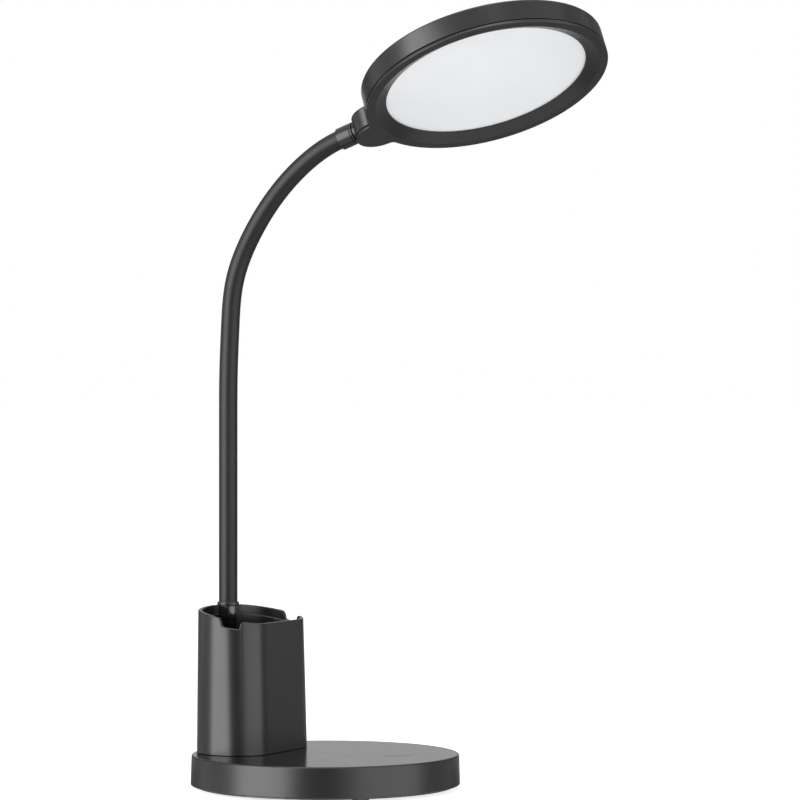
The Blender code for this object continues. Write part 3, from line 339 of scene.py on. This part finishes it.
def add_base():
    edge = BASE_EDGE_RADIUS
    foot = BASE_FOOT_EDGE
    outer = BASE_RADIUS + BASE_DRAFT
    inner = BASE_RADIUS - BASE_WALL
    profile = [(inner + BASE_DRAFT, BASE_BOTTOM)]
    profile += arc((outer - foot, BASE_BOTTOM + foot), foot, -math.pi / 2, 0, EDGE_STEPS)
    profile += corner(BASE_RADIUS - edge, BASE_TOP - edge, edge, 0)
    rings = [circle(inner, BASE_TOP - BASE_WALL, ROUND_SIDES)]
    rings += [circle(radius, height, ROUND_SIDES) for radius, height in profile]
    cover = add_piece("base_cover_smooth", loft(rings), "stand", ["base_cover"])
    dish = [(KEY_RADIUS - KEY_SLOPE, BASE_TOP - KEY_DEPTH),
            (KEY_RADIUS - KEY_SLOPE / 2, BASE_TOP - KEY_DEPTH * KEY_SLOPE_SAG),
            (KEY_RADIUS, BASE_TOP), (KEY_RADIUS + KEY_SLOPE, BASE_TOP + KEY_DEPTH)]
    tool = solid_lathe(dish, TUBE_SIDES)
    bmesh.ops.translate(tool, vec=(KEY_DISTANCE, 0, 0), verts=tool.verts)
    cut(cover, tool)
    half_width, half_height = PORT_NOSE[0] + GAP, PORT_NOSE[1] + GAP
    straight = half_width - half_height
    outline = arc((0, straight), half_height, 0, math.pi, EDGE_STEPS * 2)
    outline += arc((0, -straight), half_height, math.pi, math.tau, EDGE_STEPS * 2)
    hole = loft([level(outline, -BASE_WALL - OVERRUN), level(outline, OVERRUN)])
    place = Vector((BASE_RADIUS * math.cos(PORT_ANGLE), BASE_RADIUS * math.sin(PORT_ANGLE),
                    PORT_HEIGHT))
    turn = Matrix.Rotation(PORT_ANGLE, 4, "Z") @ Matrix.Rotation(math.pi / 2, 4, "Y")
    hole.transform(Matrix.Translation(place) @ turn)
    cut(cover, hole)
    add_weighting(cover)
    return cover


# Cup

def cup_half_outline(inset, lean_share):
    """Half the plan of the cup, from the middle of its back to the middle of its front.

    The walls lean in by their whole draft at a lean share of 1, which is the rim.
    """
    side_in = inset + CUP_SIDE_DRAFT * lean_share
    front_in = inset + CUP_FRONT_DRAFT * lean_share
    back = CUP_BACK_RADIUS - side_in
    half_width = CUP_HALF_WIDTH - side_in
    front = -CUP_FRONT_SETBACK - front_in
    back_corner = CUP_BACK_CORNER - inset
    front_corner = CUP_FRONT_CORNER - inset
    centre_y = half_width - back_corner
    centre_x = -math.sqrt((back - back_corner) ** 2 - centre_y ** 2)
    meeting = math.atan2(centre_y, centre_x)
    outline = arc((0, 0), back, math.pi, meeting, BACK_STEPS)
    outline += arc((centre_x, centre_y), back_corner, meeting, math.pi / 2, DENSE_STEPS)[1:]
    outline += arc((front - front_corner, half_width - front_corner), front_corner,
                   math.pi / 2, 0, DENSE_STEPS)
    flat = half_width - front_corner
    outline += [(front, flat * (1 - step / WALL_STEPS)) for step in range(1, WALL_STEPS + 1)]
    return outline


def rim_height(x, drop):
    """Height of the cup's slanting rim, or of an edge that lies a drop under it."""
    return BASE_TOP + CUP_FRONT_HEIGHT - RIM_RISE_SHARE * (x + CUP_FRONT_SETBACK) - drop


def notch_path():
    """The telephone notch, as places along X and heights off the rim, from rear to front."""
    half = [(NOTCH_MOUTH + NOTCH_LIP * out, -NOTCH_LIP * down) for out, down in LIP_AT_MOUTH]
    half += [(NOTCH_SHOULDER + NOTCH_LIP * out, -NOTCH_LIP * down) for out, down in LIP_AT_SHOULDER]
    flat = NOTCH_FLOOR - NOTCH_CORNER + GAP
    half += arc((flat, NOTCH_CORNER - NOTCH_DEPTH), NOTCH_CORNER, 0, -math.pi / 2, EDGE_STEPS)
    half += [(flat * (1 - step / FLOOR_STEPS), -NOTCH_DEPTH) for step in range(1, FLOOR_STEPS)]
    half += [(GAP / 2, -NOTCH_DEPTH)]
    return [(-along, depth) for along, depth in half] + half[::-1]


def rim_places(notched):
    """Places round the rim: indices of the half outline with fractions, and heights off the rim."""
    dense = cup_half_outline(0, 1.0)
    count = len(dense)
    if not notched:
        return [(index, 0.0) for index in range(count)]
    path = notch_path()
    low = NOTCH_CENTRE + path[0][0]
    high = NOTCH_CENTRE + path[-1][0]
    places = [(index, 0.0) for index in range(count) if dense[index][0] < low - GAP]
    for along, depth in path:
        x = NOTCH_CENTRE + along
        index = next(i for i in range(count) if dense[i + 1][0] >= x)
        share = (x - dense[index][0]) / (dense[index + 1][0] - dense[index][0])
        places.append((index + share, depth))
    return places + [(index, 0.0) for index in range(count) if dense[index][0] > high + GAP]


def outline_point(outline, place):
    """Point at an index of an outline, with a fraction of the way to the next."""
    index = min(int(place), len(outline) - 2)
    share = place - index
    return Vector(outline[index]).lerp(Vector(outline[index + 1]), share)


def cup_rings(inset, wall, low, drop, notched):
    """Rings from low outside over a rounded rim to the inside; also their places and point()."""
    places = rim_places(notched)
    outlines = {}

    def point(place, height, depth_in):
        key = round(depth_in, 7)
        if key not in outlines:
            outlines[key] = (cup_half_outline(depth_in, 0.0), cup_half_outline(depth_in, 1.0))
        bottom = outline_point(outlines[key][0], place)
        top = outline_point(outlines[key][1], place)
        share = (height - low) / (rim_height(top.x, drop) - low)
        flat = bottom.lerp(top, share)
        return Vector((flat.x, flat.y, height))

    dense = cup_half_outline(0, 1.0)
    edge = [point(place, rim_height(outline_point(dense, place).x, drop) + depth, inset)
            for place, depth in places]
    outward = []
    for index in range(len(edge)):
        before = edge[max(index - 1, 0)]
        after = edge[min(index + 1, len(edge) - 1)]
        along = Vector((after.x - before.x, after.y - before.y, 0))
        rise = after.z - before.z
        if index in (0, len(edge) - 1):
            along.x = 0
            rise = 0
        run = along.length
        steep = Vector((-rise * along.x / run, -rise * along.y / run, run)).normalized()
        outward.append(steep)

    def ring(depth_in, sunk):
        row = []
        for (place, _), spot, steep in zip(places, edge, outward):
            shift = point(place, spot.z, inset + depth_in) - spot
            row.append(spot + shift - steep * sunk)
        return row

    rows = [[point(place, low, inset) for place, _ in places]]
    for step in range(1, WALL_STEPS):
        share = step / WALL_STEPS
        rows.append([low_spot.lerp(spot, share)
                     for low_spot, spot in zip(rows[0], ring(0, RIM_ROUND))])
    for step in range(EDGE_STEPS + 1):
        angle = math.pi / 2 * step / EDGE_STEPS
        rows.append(ring(RIM_ROUND * (1 - math.cos(angle)), RIM_ROUND * (1 - math.sin(angle))))
    for step in range(EDGE_STEPS + 1):
        angle = math.pi / 2 * (1 - step / EDGE_STEPS)
        rows.append(ring(wall - RIM_ROUND * (1 - math.cos(angle)),
                         RIM_ROUND * (1 - math.sin(angle))))
    return rows, places, point


def whole(row):
    """Close a half ring across the plane of symmetry."""
    return row + [Vector((spot.x, -spot.y, spot.z)) for spot in reversed(row[1:-1])]


def add_cup():
    low = BASE_TOP + GAP
    rows, places, point = cup_rings(0, CUP_WALL, low, 0, True)
    rows.append([point(place, low, CUP_WALL) for place, _ in places])
    shell = add_piece("cup_shell_smooth", loft([whole(row) for row in rows], closed_wall=True),
                      "stand", ["cup_shell"])
    outer = CUP_WALL + GAP
    rows, places, point = cup_rings(outer, LINER_WALL, low, LEDGE_DROP, False)
    inner = outer + LINER_WALL
    for step in range(1, EDGE_STEPS + 1):
        angle = math.pi / 2 * step / EDGE_STEPS
        rows.append([point(place, LINER_FLOOR + LINER_FILLET * (1 - math.sin(angle)),
                           inner + LINER_FILLET * (1 - math.cos(angle))) for place, _ in places])
    liner = add_piece("cup_liner_smooth", loft([whole(row) for row in rows]),
                      "stand", ["cup_liner"])
    profile = [(COLUMN_BORE, LINER_FLOOR - GAP), (COLUMN_RADIUS, LINER_FLOOR - GAP)]
    profile += corner(COLUMN_RADIUS - RIM_ROUND, COLUMN_TOP - RIM_ROUND, RIM_ROUND, 0)
    profile += [(COLUMN_BORE, COLUMN_TOP)]
    column = add_piece("cup_column_smooth", lathe(profile, TUBE_SIDES), "stand", [],
                       Matrix.Translation((-POST_DISTANCE, 0, 0)))
    return shell, liner, column


# Neck

def bend_rate(length):
    """Bend of the neck in radians per metre, at a length along it."""
    area = sum((a + b) / 2 for a, b in zip(NECK_BEND_SHARES, NECK_BEND_SHARES[1:]))
    place = min(max(length / LINK_LENGTH, 0), NECK_LINKS)
    index = min(int(place), NECK_LINKS - 1)
    blend = place - index
    share = NECK_BEND_SHARES[index] * (1 - blend) + NECK_BEND_SHARES[index + 1] * blend
    return NECK_BEND * share / (area * LINK_LENGTH)


def neck_frame(length):
    """Frame on the neck's centre line: +Z along the neck, +X to the inside of its bend."""
    span = min(max(length, 0), NECK_LENGTH)
    steps = max(1, math.ceil(span / LINK_LENGTH * PATH_STEPS))
    step = span / steps
    forward = 0.0
    height = 0.0
    angle = 0.0
    for index in range(steps):
        turn = bend_rate((index + 1 / 2) * step) * step
        middle = angle + turn / 2
        forward += math.sin(middle) * step
        height += math.cos(middle) * step
        angle += turn
    extra = length - span
    forward += math.sin(angle) * extra
    height += math.cos(angle) * extra
    heading = Matrix.Rotation(NECK_HEADING, 4, "Z")
    post = Matrix.Translation((-POST_DISTANCE, 0, NECK_START))
    reach = Matrix.Translation((forward, 0, height))
    return post @ heading @ reach @ Matrix.Rotation(angle, 4, "Y")


def link_body(link):
    """Body that a link of the neck belongs to, counted from 0 at the post."""
    return "stand" if link == 0 else f"neck_link_{link + 1:02d}"


def add_neck():
    """The sleeve, in lengths from mid link to mid link that meet ring on ring."""
    pieces = []
    for index in range(NECK_LINKS + 1):
        start = -LOWER_SOCKET_DEPTH if index == 0 else LINK_LENGTH * (index - 0.5)
        end = (NECK_LENGTH + UPPER_SOCKET_DEPTH if index == NECK_LINKS
               else LINK_LENGTH * (index + 0.5))
        rings = []
        for step in range(RINGS_PER_LINK + 1):
            section = neck_frame(start + (end - start) * step / RINGS_PER_LINK)
            rings.append([section @ point for point in circle(NECK_RADIUS, 0, TUBE_SIDES)])
        first = index == 0
        last = index == NECK_LINKS
        body = link_body(min(index, NECK_LINKS - 1)) if first or last else None
        node = [f"neck_sleeve_{index + 1:02d}"] if not last else []
        piece = add_piece(f"neck_skin_{index + 1:02d}", loft(rings, capped=False), body, node,
                          weighted=False)
        if not first and not last:
            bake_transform(piece)
        pieces.append(piece)
    return pieces


def add_ferrules():
    mouth = FLANGE_LIFT
    edge = FINE_EDGE
    neck_hole = NECK_RADIUS + SLEEVE_CLEARANCE
    flange_low = mouth - FLANGE_HEIGHT
    low = COLUMN_TOP + GAP - NECK_START
    profile = [(COLUMN_BORE, low)]
    profile += arc((FERRULE_TAPER - edge, low + edge), edge, -math.pi / 2, 0, EDGE_STEPS)
    profile += [(FERRULE_RADIUS, flange_low - FERRULE_TAPER_HEIGHT), (FERRULE_RADIUS, flange_low)]
    profile += arc((FLANGE_RADIUS - edge, flange_low + edge), edge, -math.pi / 2, 0, EDGE_STEPS)
    profile += corner(FLANGE_RADIUS - edge, mouth - edge, edge, 0)
    profile += [(neck_hole, mouth), (neck_hole, -LOWER_SOCKET_DEPTH - GAP),
                (COLUMN_BORE, -LOWER_SOCKET_DEPTH - GAP)]
    lower = add_piece("lower_ferrule_smooth", lathe(profile, TUBE_SIDES), "stand",
                      ["lower_ferrule"], neck_frame(0))
    groove_low = UPPER_LENGTH - UPPER_GROOVE_DROP
    profile = [(neck_hole, 0)]
    profile += arc((UPPER_RADIUS - edge, edge), edge, -math.pi / 2, 0, EDGE_STEPS)
    profile += [(UPPER_RADIUS - UPPER_GROOVE * inward, groove_low + UPPER_GROOVE * up)
                for up, inward in GROOVE_SECTION]
    profile += corner(UPPER_RADIUS - edge, UPPER_LENGTH - edge, edge, 0)
    profile += [(COLUMN_BORE, UPPER_LENGTH), (COLUMN_BORE, UPPER_SOCKET_DEPTH + GAP),
                (neck_hole, UPPER_SOCKET_DEPTH + GAP)]
    upper = add_piece("upper_ferrule_smooth", lathe(profile, TUBE_SIDES), link_body(NECK_LINKS - 1),
                      ["upper_ferrule"], neck_frame(NECK_LENGTH))
    return lower, upper


# Head

def head_frame():
    """Frame in the middle of the head: +Z out of its back, -X to the neck."""
    lay = Matrix.Rotation(-math.pi / 2, 4, "Y")
    roll = Matrix.Rotation(HEAD_ROLL, 4, "X")
    middle = Matrix.Translation((0, 0, -HEAD_AXIS_OFFSET))
    return neck_frame(NECK_LENGTH + HEAD_REACH) @ lay @ roll @ middle


def keyhole(inset):
    """Outline of the head: a disc about the origin, filleted into the round lug at its edge."""
    far = HEAD_RADIUS + LUG_FILLET
    near = LUG_RADIUS + LUG_FILLET
    fillet_x = -(far ** 2 - near ** 2 + HEAD_RADIUS ** 2) / (2 * HEAD_RADIUS)
    fillet_y = math.sqrt(far ** 2 - fillet_x ** 2)
    around = math.atan2(fillet_y, fillet_x)
    lug_turn = math.atan2(fillet_y, fillet_x + HEAD_RADIUS)
    half = arc((0, 0), HEAD_RADIUS - inset, 0, around, HEAD_STEPS)
    half += arc((fillet_x, fillet_y), LUG_FILLET + inset, around - math.pi, lug_turn - math.pi,
                FILLET_STEPS)[1:]
    half += arc((-HEAD_RADIUS, 0), LUG_RADIUS - inset, lug_turn, math.pi, LUG_STEPS)[1:]
    return mirrored(half)


def window(radius):
    """A circle with its points in the same directions as the keyhole's."""
    return [(radius * math.cos(math.atan2(y, x)), radius * math.sin(math.atan2(y, x)))
            for x, y in keyhole(0)]


def add_head():
    place = head_frame()
    edge = SEAM + SEAM_WIDTH
    rings = [level(keyhole(HEAD_WALL), HALF_HEAD - HEAD_WALL), level(keyhole(HEAD_WALL), edge),
             level(keyhole(SEAM_BEVEL), edge), level(keyhole(0), edge + SEAM_BEVEL)]
    for x, y in corner(0, HALF_HEAD - HEAD_BACK_EDGE, HEAD_BACK_EDGE, 0):
        rings.append(level(keyhole(HEAD_BACK_EDGE - x), y))
    housing = add_piece("head_housing_smooth", loft(rings), "head", ["head_housing"],
                        place)
    lug_end = Matrix.Translation((-HEAD_RADIUS - LUG_RADIUS, 0, HEAD_AXIS_OFFSET))
    profile = [(LUG_FACE_RADIUS, 0), (LUG_FACE_RADIUS, LUG_FACE_DEPTH)]
    boss = add_piece("lug_boss", solid_lathe(profile, TUBE_SIDES), "head", [],
                     place @ lug_end @ Matrix.Rotation(math.pi / 2, 4, "Y"))
    front = -HALF_HEAD
    bevel = BEZEL_BEVEL
    lip_back = front + WINDOW_DEPTH + LIP_THICKNESS
    slope_top = HEAD_RADIUS - BEZEL_FLAT_WIDTH
    rings = [level(keyhole(HEAD_WALL + GAP), SEAM), level(keyhole(SEAM_BEVEL), SEAM)]
    for x, y in arc((0, front + bevel), bevel, 0, -math.pi / 2, EDGE_STEPS):
        rings.append(level(keyhole(bevel - x), y))
    rings += [level(window(slope_top + bevel), front),
              level(window(slope_top), front + BEZEL_SLOPE_EASE)]
    rings += [level(window(WINDOW_RADIUS + LIP_EDGE), front + WINDOW_DEPTH - LIP_EDGE / 2),
              level(window(WINDOW_RADIUS), front + WINDOW_DEPTH),
              level(window(WINDOW_RADIUS), lip_back),
              level(window(WINDOW_RADIUS + HEAD_WALL), lip_back)]
    bezel = add_piece("head_bezel_smooth", loft(rings, closed_wall=True), "head", ["head_bezel"],
                      place)
    low = lip_back + GAP
    profile = [(DIFFUSER_RADIUS, low + DIFFUSER_THICKNESS), (DIFFUSER_RADIUS, low)]
    diffuser = add_piece("diffuser_smooth", solid_lathe(profile, ROUND_SIDES), "head", ["diffuser"],
                         place)
    return housing, boss, bezel, diffuser


# Materials

def new_material(name):
    material = bpy.data.materials.new(name)
    material.use_nodes = True
    nodes = material.node_tree.nodes
    return material, nodes, material.node_tree.links, nodes["Principled BSDF"]


def noise(nodes, links, coordinates, scale, detail):
    texture = nodes.new("ShaderNodeTexNoise")
    texture.inputs["Scale"].default_value = scale
    texture.inputs["Detail"].default_value = detail
    links.new(coordinates.outputs["Object"], texture.inputs["Vector"])
    return texture


def spread(nodes, links, source, low, high):
    """Map the middle of a noise's range to low and high."""
    mapping = nodes.new("ShaderNodeMapRange")
    mapping.inputs["From Min"].default_value = NOISE_LOW
    mapping.inputs["From Max"].default_value = NOISE_HIGH
    mapping.inputs["To Min"].default_value = low
    mapping.inputs["To Max"].default_value = high
    links.new(source, mapping.inputs["Value"])
    return mapping.outputs["Result"]


def tinted(nodes, links, source, dark, light):
    """Map the middle of a noise's range to colours from dark to light."""
    ramp = nodes.new("ShaderNodeValToRGB")
    ramp.color_ramp.elements[0].position = NOISE_LOW
    ramp.color_ramp.elements[0].color = (*dark, 1.0)
    ramp.color_ramp.elements[1].position = NOISE_HIGH
    ramp.color_ramp.elements[1].color = (*light, 1.0)
    links.new(source, ramp.inputs["Fac"])
    return ramp.outputs["Color"]


def add_grain(nodes, links, coordinates, shader, scale, strength, depth):
    """Roughen a shader's surface with a fine noise."""
    fine = noise(nodes, links, coordinates, scale, SOFT_DETAIL)
    bump = nodes.new("ShaderNodeBump")
    bump.inputs["Strength"].default_value = strength
    bump.inputs["Distance"].default_value = depth
    links.new(fine.outputs["Fac"], bump.inputs["Height"])
    links.new(bump.outputs["Normal"], shader.inputs["Normal"])


def finish(name, dark, light, rough, metallic=0.0, grain=2600.0, depth=0.00002, cloud=45.0,
           level_share=0.5):
    """A moulded or metal finish: clouded colour and roughness over a fine grain."""
    material, nodes, links, shader = new_material(name)
    coordinates = nodes.new("ShaderNodeTexCoord")
    clouds = noise(nodes, links, coordinates, cloud, CLOUD_DETAIL)
    links.new(tinted(nodes, links, clouds.outputs["Fac"], dark, light), shader.inputs["Base Color"])
    smears = noise(nodes, links, coordinates, cloud * SMEAR_SCALE, SMEAR_DETAIL)
    links.new(spread(nodes, links, smears.outputs["Fac"], *rough), shader.inputs["Roughness"])
    add_grain(nodes, links, coordinates, shader, grain, GRAIN_STRENGTH, depth)
    shader.inputs["Metallic"].default_value = metallic
    shader.inputs["Specular IOR Level"].default_value = level_share
    return material


def opal():
    """The milky panel, which glows a little in its own colour."""
    material, nodes, links, shader = new_material("opal_panel")
    coordinates = nodes.new("ShaderNodeTexCoord")
    clouds = noise(nodes, links, coordinates, OPAL_CLOUD, SOFT_DETAIL)
    colour = tinted(nodes, links, clouds.outputs["Fac"], *OPAL)
    links.new(colour, shader.inputs["Base Color"])
    links.new(colour, shader.inputs["Emission Color"])
    shader.inputs["Emission Strength"].default_value = OPAL_GLOW
    links.new(spread(nodes, links, clouds.outputs["Fac"], *OPAL_ROUGH), shader.inputs["Roughness"])
    add_grain(nodes, links, coordinates, shader, OPAL_GRAIN, OPAL_GRAIN_STRENGTH, OPAL_DEPTH)
    return material


def paint(piece, material):
    piece.data.materials.clear()
    piece.data.materials.append(material)


def paint_faces(piece, material, chosen):
    """Another finish for the chosen faces of a painted piece."""
    piece.data.materials.append(material)
    for face in piece.data.polygons:
        if chosen(face):
            face.material_index = 1


def paint_node(name, material):
    """Finish for a solid of the model that is shown as it is."""
    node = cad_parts[name]
    for slot in node.material_slots:
        slot.material = material


# Studio

def add_camera():
    data = bpy.data.cameras.new("camera")
    data.lens = CAMERA_LENS
    data.sensor_width = CAMERA_SENSOR
    camera = bpy.data.objects.new("camera", data)
    bpy.context.scene.collection.objects.link(camera)
    camera.location = CAMERA_PLACE
    camera.rotation_mode = "QUATERNION"
    camera.rotation_quaternion = Vector(CAMERA_LOOK).to_track_quat("-Z", "Y")
    bpy.context.scene.camera = camera


def seen_share(nodes, links, lit, seen):
    """One value for rays that light the lamp, another for camera, reflected and refracted rays."""
    rays = nodes.new("ShaderNodeLightPath")
    either = nodes.new("ShaderNodeMath")
    either.operation = "MAXIMUM"
    links.new(rays.outputs["Is Camera Ray"], either.inputs[0])
    links.new(rays.outputs["Is Glossy Ray"], either.inputs[1])
    all_three = nodes.new("ShaderNodeMath")
    all_three.operation = "MAXIMUM"
    links.new(either.outputs["Value"], all_three.inputs[0])
    links.new(rays.outputs["Is Transmission Ray"], all_three.inputs[1])
    value = nodes.new("ShaderNodeMapRange")
    value.inputs["To Min"].default_value = lit
    value.inputs["To Max"].default_value = seen
    links.new(all_three.outputs["Value"], value.inputs["Value"])
    return value.outputs["Result"]


def add_floor():
    half = FLOOR_SIZE / 2
    mesh = bpy.data.meshes.new("floor")
    corners = [(-half, -half, 0), (half, -half, 0), (half, half, 0), (-half, half, 0)]
    mesh.from_pydata(corners, [], [(0, 1, 2, 3)])
    floor = bpy.data.objects.new("floor", mesh)
    bpy.context.scene.collection.objects.link(floor)
    floor.visible_glossy = False
    material, nodes, links, shader = new_material("pale_floor")
    coordinates = nodes.new("ShaderNodeTexCoord")
    clouds = noise(nodes, links, coordinates, FLOOR_CLOUD, SOFT_DETAIL)
    links.new(spread(nodes, links, clouds.outputs["Fac"], *FLOOR_ROUGH), shader.inputs["Roughness"])
    shader.inputs["Base Color"].default_value = FLOOR_COLOUR
    shader.inputs["Specular IOR Level"].default_value = FLOOR_SPECULAR
    shader.inputs["Emission Color"].default_value = WHITE
    links.new(seen_share(nodes, links, 0.0, FLOOR_GLOW), shader.inputs["Emission Strength"])
    mesh.materials.append(material)


def add_world():
    world = bpy.data.worlds.new("studio")
    world.use_nodes = True
    bpy.context.scene.world = world
    nodes = world.node_tree.nodes
    links = world.node_tree.links
    sky = nodes["Background"]
    links.new(seen_share(nodes, links, WORLD_LIGHT, BACKGROUND), sky.inputs["Strength"])
    sky.inputs["Color"].default_value = WHITE


def camera_side():
    """Direction from the lamp to the camera, seen from above."""
    return math.atan2(-CAMERA_LOOK[1], -CAMERA_LOOK[0])


def add_soft_box(name, right, up, distance, width, height, radiance):
    """A light that faces AIM, with the same radiance all over whatever its size."""
    data = bpy.data.lights.new(name, "AREA")
    data.shape = "RECTANGLE"
    data.size = width
    data.size_y = height
    data.energy = radiance * math.pi * width * height
    box = bpy.data.objects.new(name, data)
    bpy.context.scene.collection.objects.link(box)
    turn = camera_side() + math.radians(right)
    rise = math.radians(up)
    direction = Vector((math.cos(turn) * math.cos(rise), math.sin(turn) * math.cos(rise),
                        math.sin(rise)))
    box.location = AIM + direction * distance
    box.rotation_mode = "QUATERNION"
    box.rotation_quaternion = (-direction).to_track_quat("-Z", "Y")


def add_card(name, corners, right, place, glow):
    """A grey card turned to the lamp, seen only in the reflections on it."""
    mesh = bpy.data.meshes.new(name)
    mesh.from_pydata(corners, [], [(0, 1, 2, 3)])
    card = bpy.data.objects.new(name, mesh)
    bpy.context.scene.collection.objects.link(card)
    card.location = place
    card.rotation_euler = (0, 0, camera_side() + math.radians(right) - math.pi / 2)
    card.visible_camera = False
    card.visible_diffuse = False
    card.visible_shadow = False
    paper = finish(f"{name}_paper", *CARD_COLOUR, CARD_ROUGH, grain=400.0, depth=0.0001)
    shader = paper.node_tree.nodes["Principled BSDF"]
    shader.inputs["Emission Color"].default_value = WHITE
    shader.inputs["Emission Strength"].default_value = glow
    mesh.materials.append(paper)


def add_upright_card(name, right, distance, width, foot, height, glow):
    half = width / 2
    top = foot + height
    corners = [(-half, 0, foot), (half, 0, foot), (half, 0, top), (-half, 0, top)]
    turn = camera_side() + math.radians(right)
    add_card(name, corners, right, (distance * math.cos(turn), distance * math.sin(turn), 0), glow)


def add_sheet():
    """A grey sheet on the floor behind the lamp, which the front of the head reflects."""
    half = SHEET_WIDTH / 2
    corners = [(-half, SHEET_NEAR, SHEET_LIFT), (half, SHEET_NEAR, SHEET_LIFT),
               (half, SHEET_FAR, SHEET_LIFT), (-half, SHEET_FAR, SHEET_LIFT)]
    add_card("sheet_behind", corners, BEHIND, (0, 0, 0), SHEET_GLOW)


# Build

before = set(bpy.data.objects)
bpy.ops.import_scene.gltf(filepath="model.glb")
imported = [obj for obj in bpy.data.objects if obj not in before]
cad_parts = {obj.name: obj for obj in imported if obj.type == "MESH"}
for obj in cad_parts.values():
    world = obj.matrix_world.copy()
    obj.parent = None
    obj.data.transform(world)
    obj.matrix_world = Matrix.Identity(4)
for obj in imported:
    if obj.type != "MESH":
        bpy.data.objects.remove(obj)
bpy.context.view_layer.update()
add_camera()
add_floor()
add_world()
for soft_box in SOFT_BOXES:
    add_soft_box(*soft_box)
for card in CARDS:
    add_upright_card(*card)
add_sheet()

# name, dark cloud, light cloud, range of roughness
satin = {"grain": SATIN_GRAIN, "depth": SATIN_DEPTH}
metal = {"metallic": 1.0, "cloud": 300.0}
black = finish("satin_black_plastic", *BLACK, (0.28, 0.30), **satin)
base_black = finish("base_black_plastic", *BLACK, (0.31, 0.33), **satin)
top_black = finish("polished_black_plastic", *DEEP_BLACK, (0.14, 0.18), grain=120.0,
                   depth=SATIN_DEPTH, level_share=0.40)
matte_black = finish("matte_black_plastic", *MATTE_BLACK, (0.55, 0.62), grain=900.0,
                     depth=0.000002, level_share=0.20)
head_black = finish("head_black_plastic", *BLACK, (0.26, 0.28), **satin)
sleeve = finish("soft_sleeve", *BLACK, (0.40, 0.46), grain=1800.0, depth=0.000005, level_share=0.34)
gloss = finish("gloss_black", *DEEP_BLACK, (0.10, 0.14), level_share=1.0, **satin)
rubber = finish("grey_rubber", (0.26, 0.26, 0.26), (0.33, 0.33, 0.33), (0.70, 0.85), depth=0.00006)
zinc = finish("zinc", (0.50, 0.50, 0.52), (0.62, 0.62, 0.64), (0.25, 0.38), **metal)
steel = finish("drawn_steel", (0.40, 0.40, 0.41), (0.50, 0.50, 0.51), (0.28, 0.40), **metal)
cast = finish("cast_plate", (0.05, 0.05, 0.052), (0.09, 0.09, 0.092), (0.55, 0.75),
              metallic=1.0, grain=900.0, depth=0.0001)
board = finish("board_green", (0.015, 0.12, 0.05), (0.025, 0.18, 0.08), (0.35, 0.50),
               cloud=400.0)
white_board = finish("board_white", (0.70, 0.70, 0.68), (0.80, 0.80, 0.78), (0.45, 0.55),
                     cloud=300.0)
brass = finish("bare_brass", (0.62, 0.44, 0.20), (0.74, 0.56, 0.28), (0.25, 0.38), **metal)
acrylic = finish("clear_acrylic", (0.78, 0.84, 0.88), (0.84, 0.90, 0.94), (0.06, 0.12),
                 depth=0.000005)
film = finish("white_film", (0.80, 0.80, 0.80), (0.88, 0.88, 0.88), (0.50, 0.62))
opal_panel = opal()

cover = add_base()
paint(cover, base_black)
paint_faces(cover, top_black, lambda face: face.normal.z > TOP_NORMAL)
for piece in add_cup():
    paint(piece, black)
for piece in add_neck():
    paint(piece, sleeve)
lower_ferrule, upper_ferrule = add_ferrules()
paint(lower_ferrule, gloss)
flange_low = NECK_START + FLANGE_LIFT - FLANGE_HEIGHT - GAP
paint_faces(lower_ferrule, black, lambda face: face.center.z > flange_low)
paint(upper_ferrule, head_black)
housing, boss, bezel, diffuser = add_head()
paint(housing, head_black)
head_back = head_frame().to_3x3() @ Vector((0, 0, 1))
paint_faces(housing, matte_black, lambda face: face.normal.dot(head_back) > TOP_NORMAL)
paint(boss, head_black)
paint(bezel, head_black)
paint(diffuser, opal_panel)

# Solids of the model that no smooth piece replaces
kept = {"control_board": board, "touch_contact": brass, "ballast_weight": cast,
        "light_guide": acrylic, "reflector_film": film, "led_strip": white_board,
        "bottom_plate": black, "charging_port": black}
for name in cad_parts:
    if name in kept:
        paint_node(name, kept[name])
    elif name.startswith("foot_"):
        paint_node(name, rubber)
    elif name.startswith("neck_core"):
        paint_node(name, steel)
    elif name.startswith(("plate_screw", "cup_screw", "board_screw", "neck_stud", "neck_washer",
                          "neck_nut", "swivel")):
        paint_node(name, zinc)

bpy.context.scene.view_settings.view_transform = "Standard"
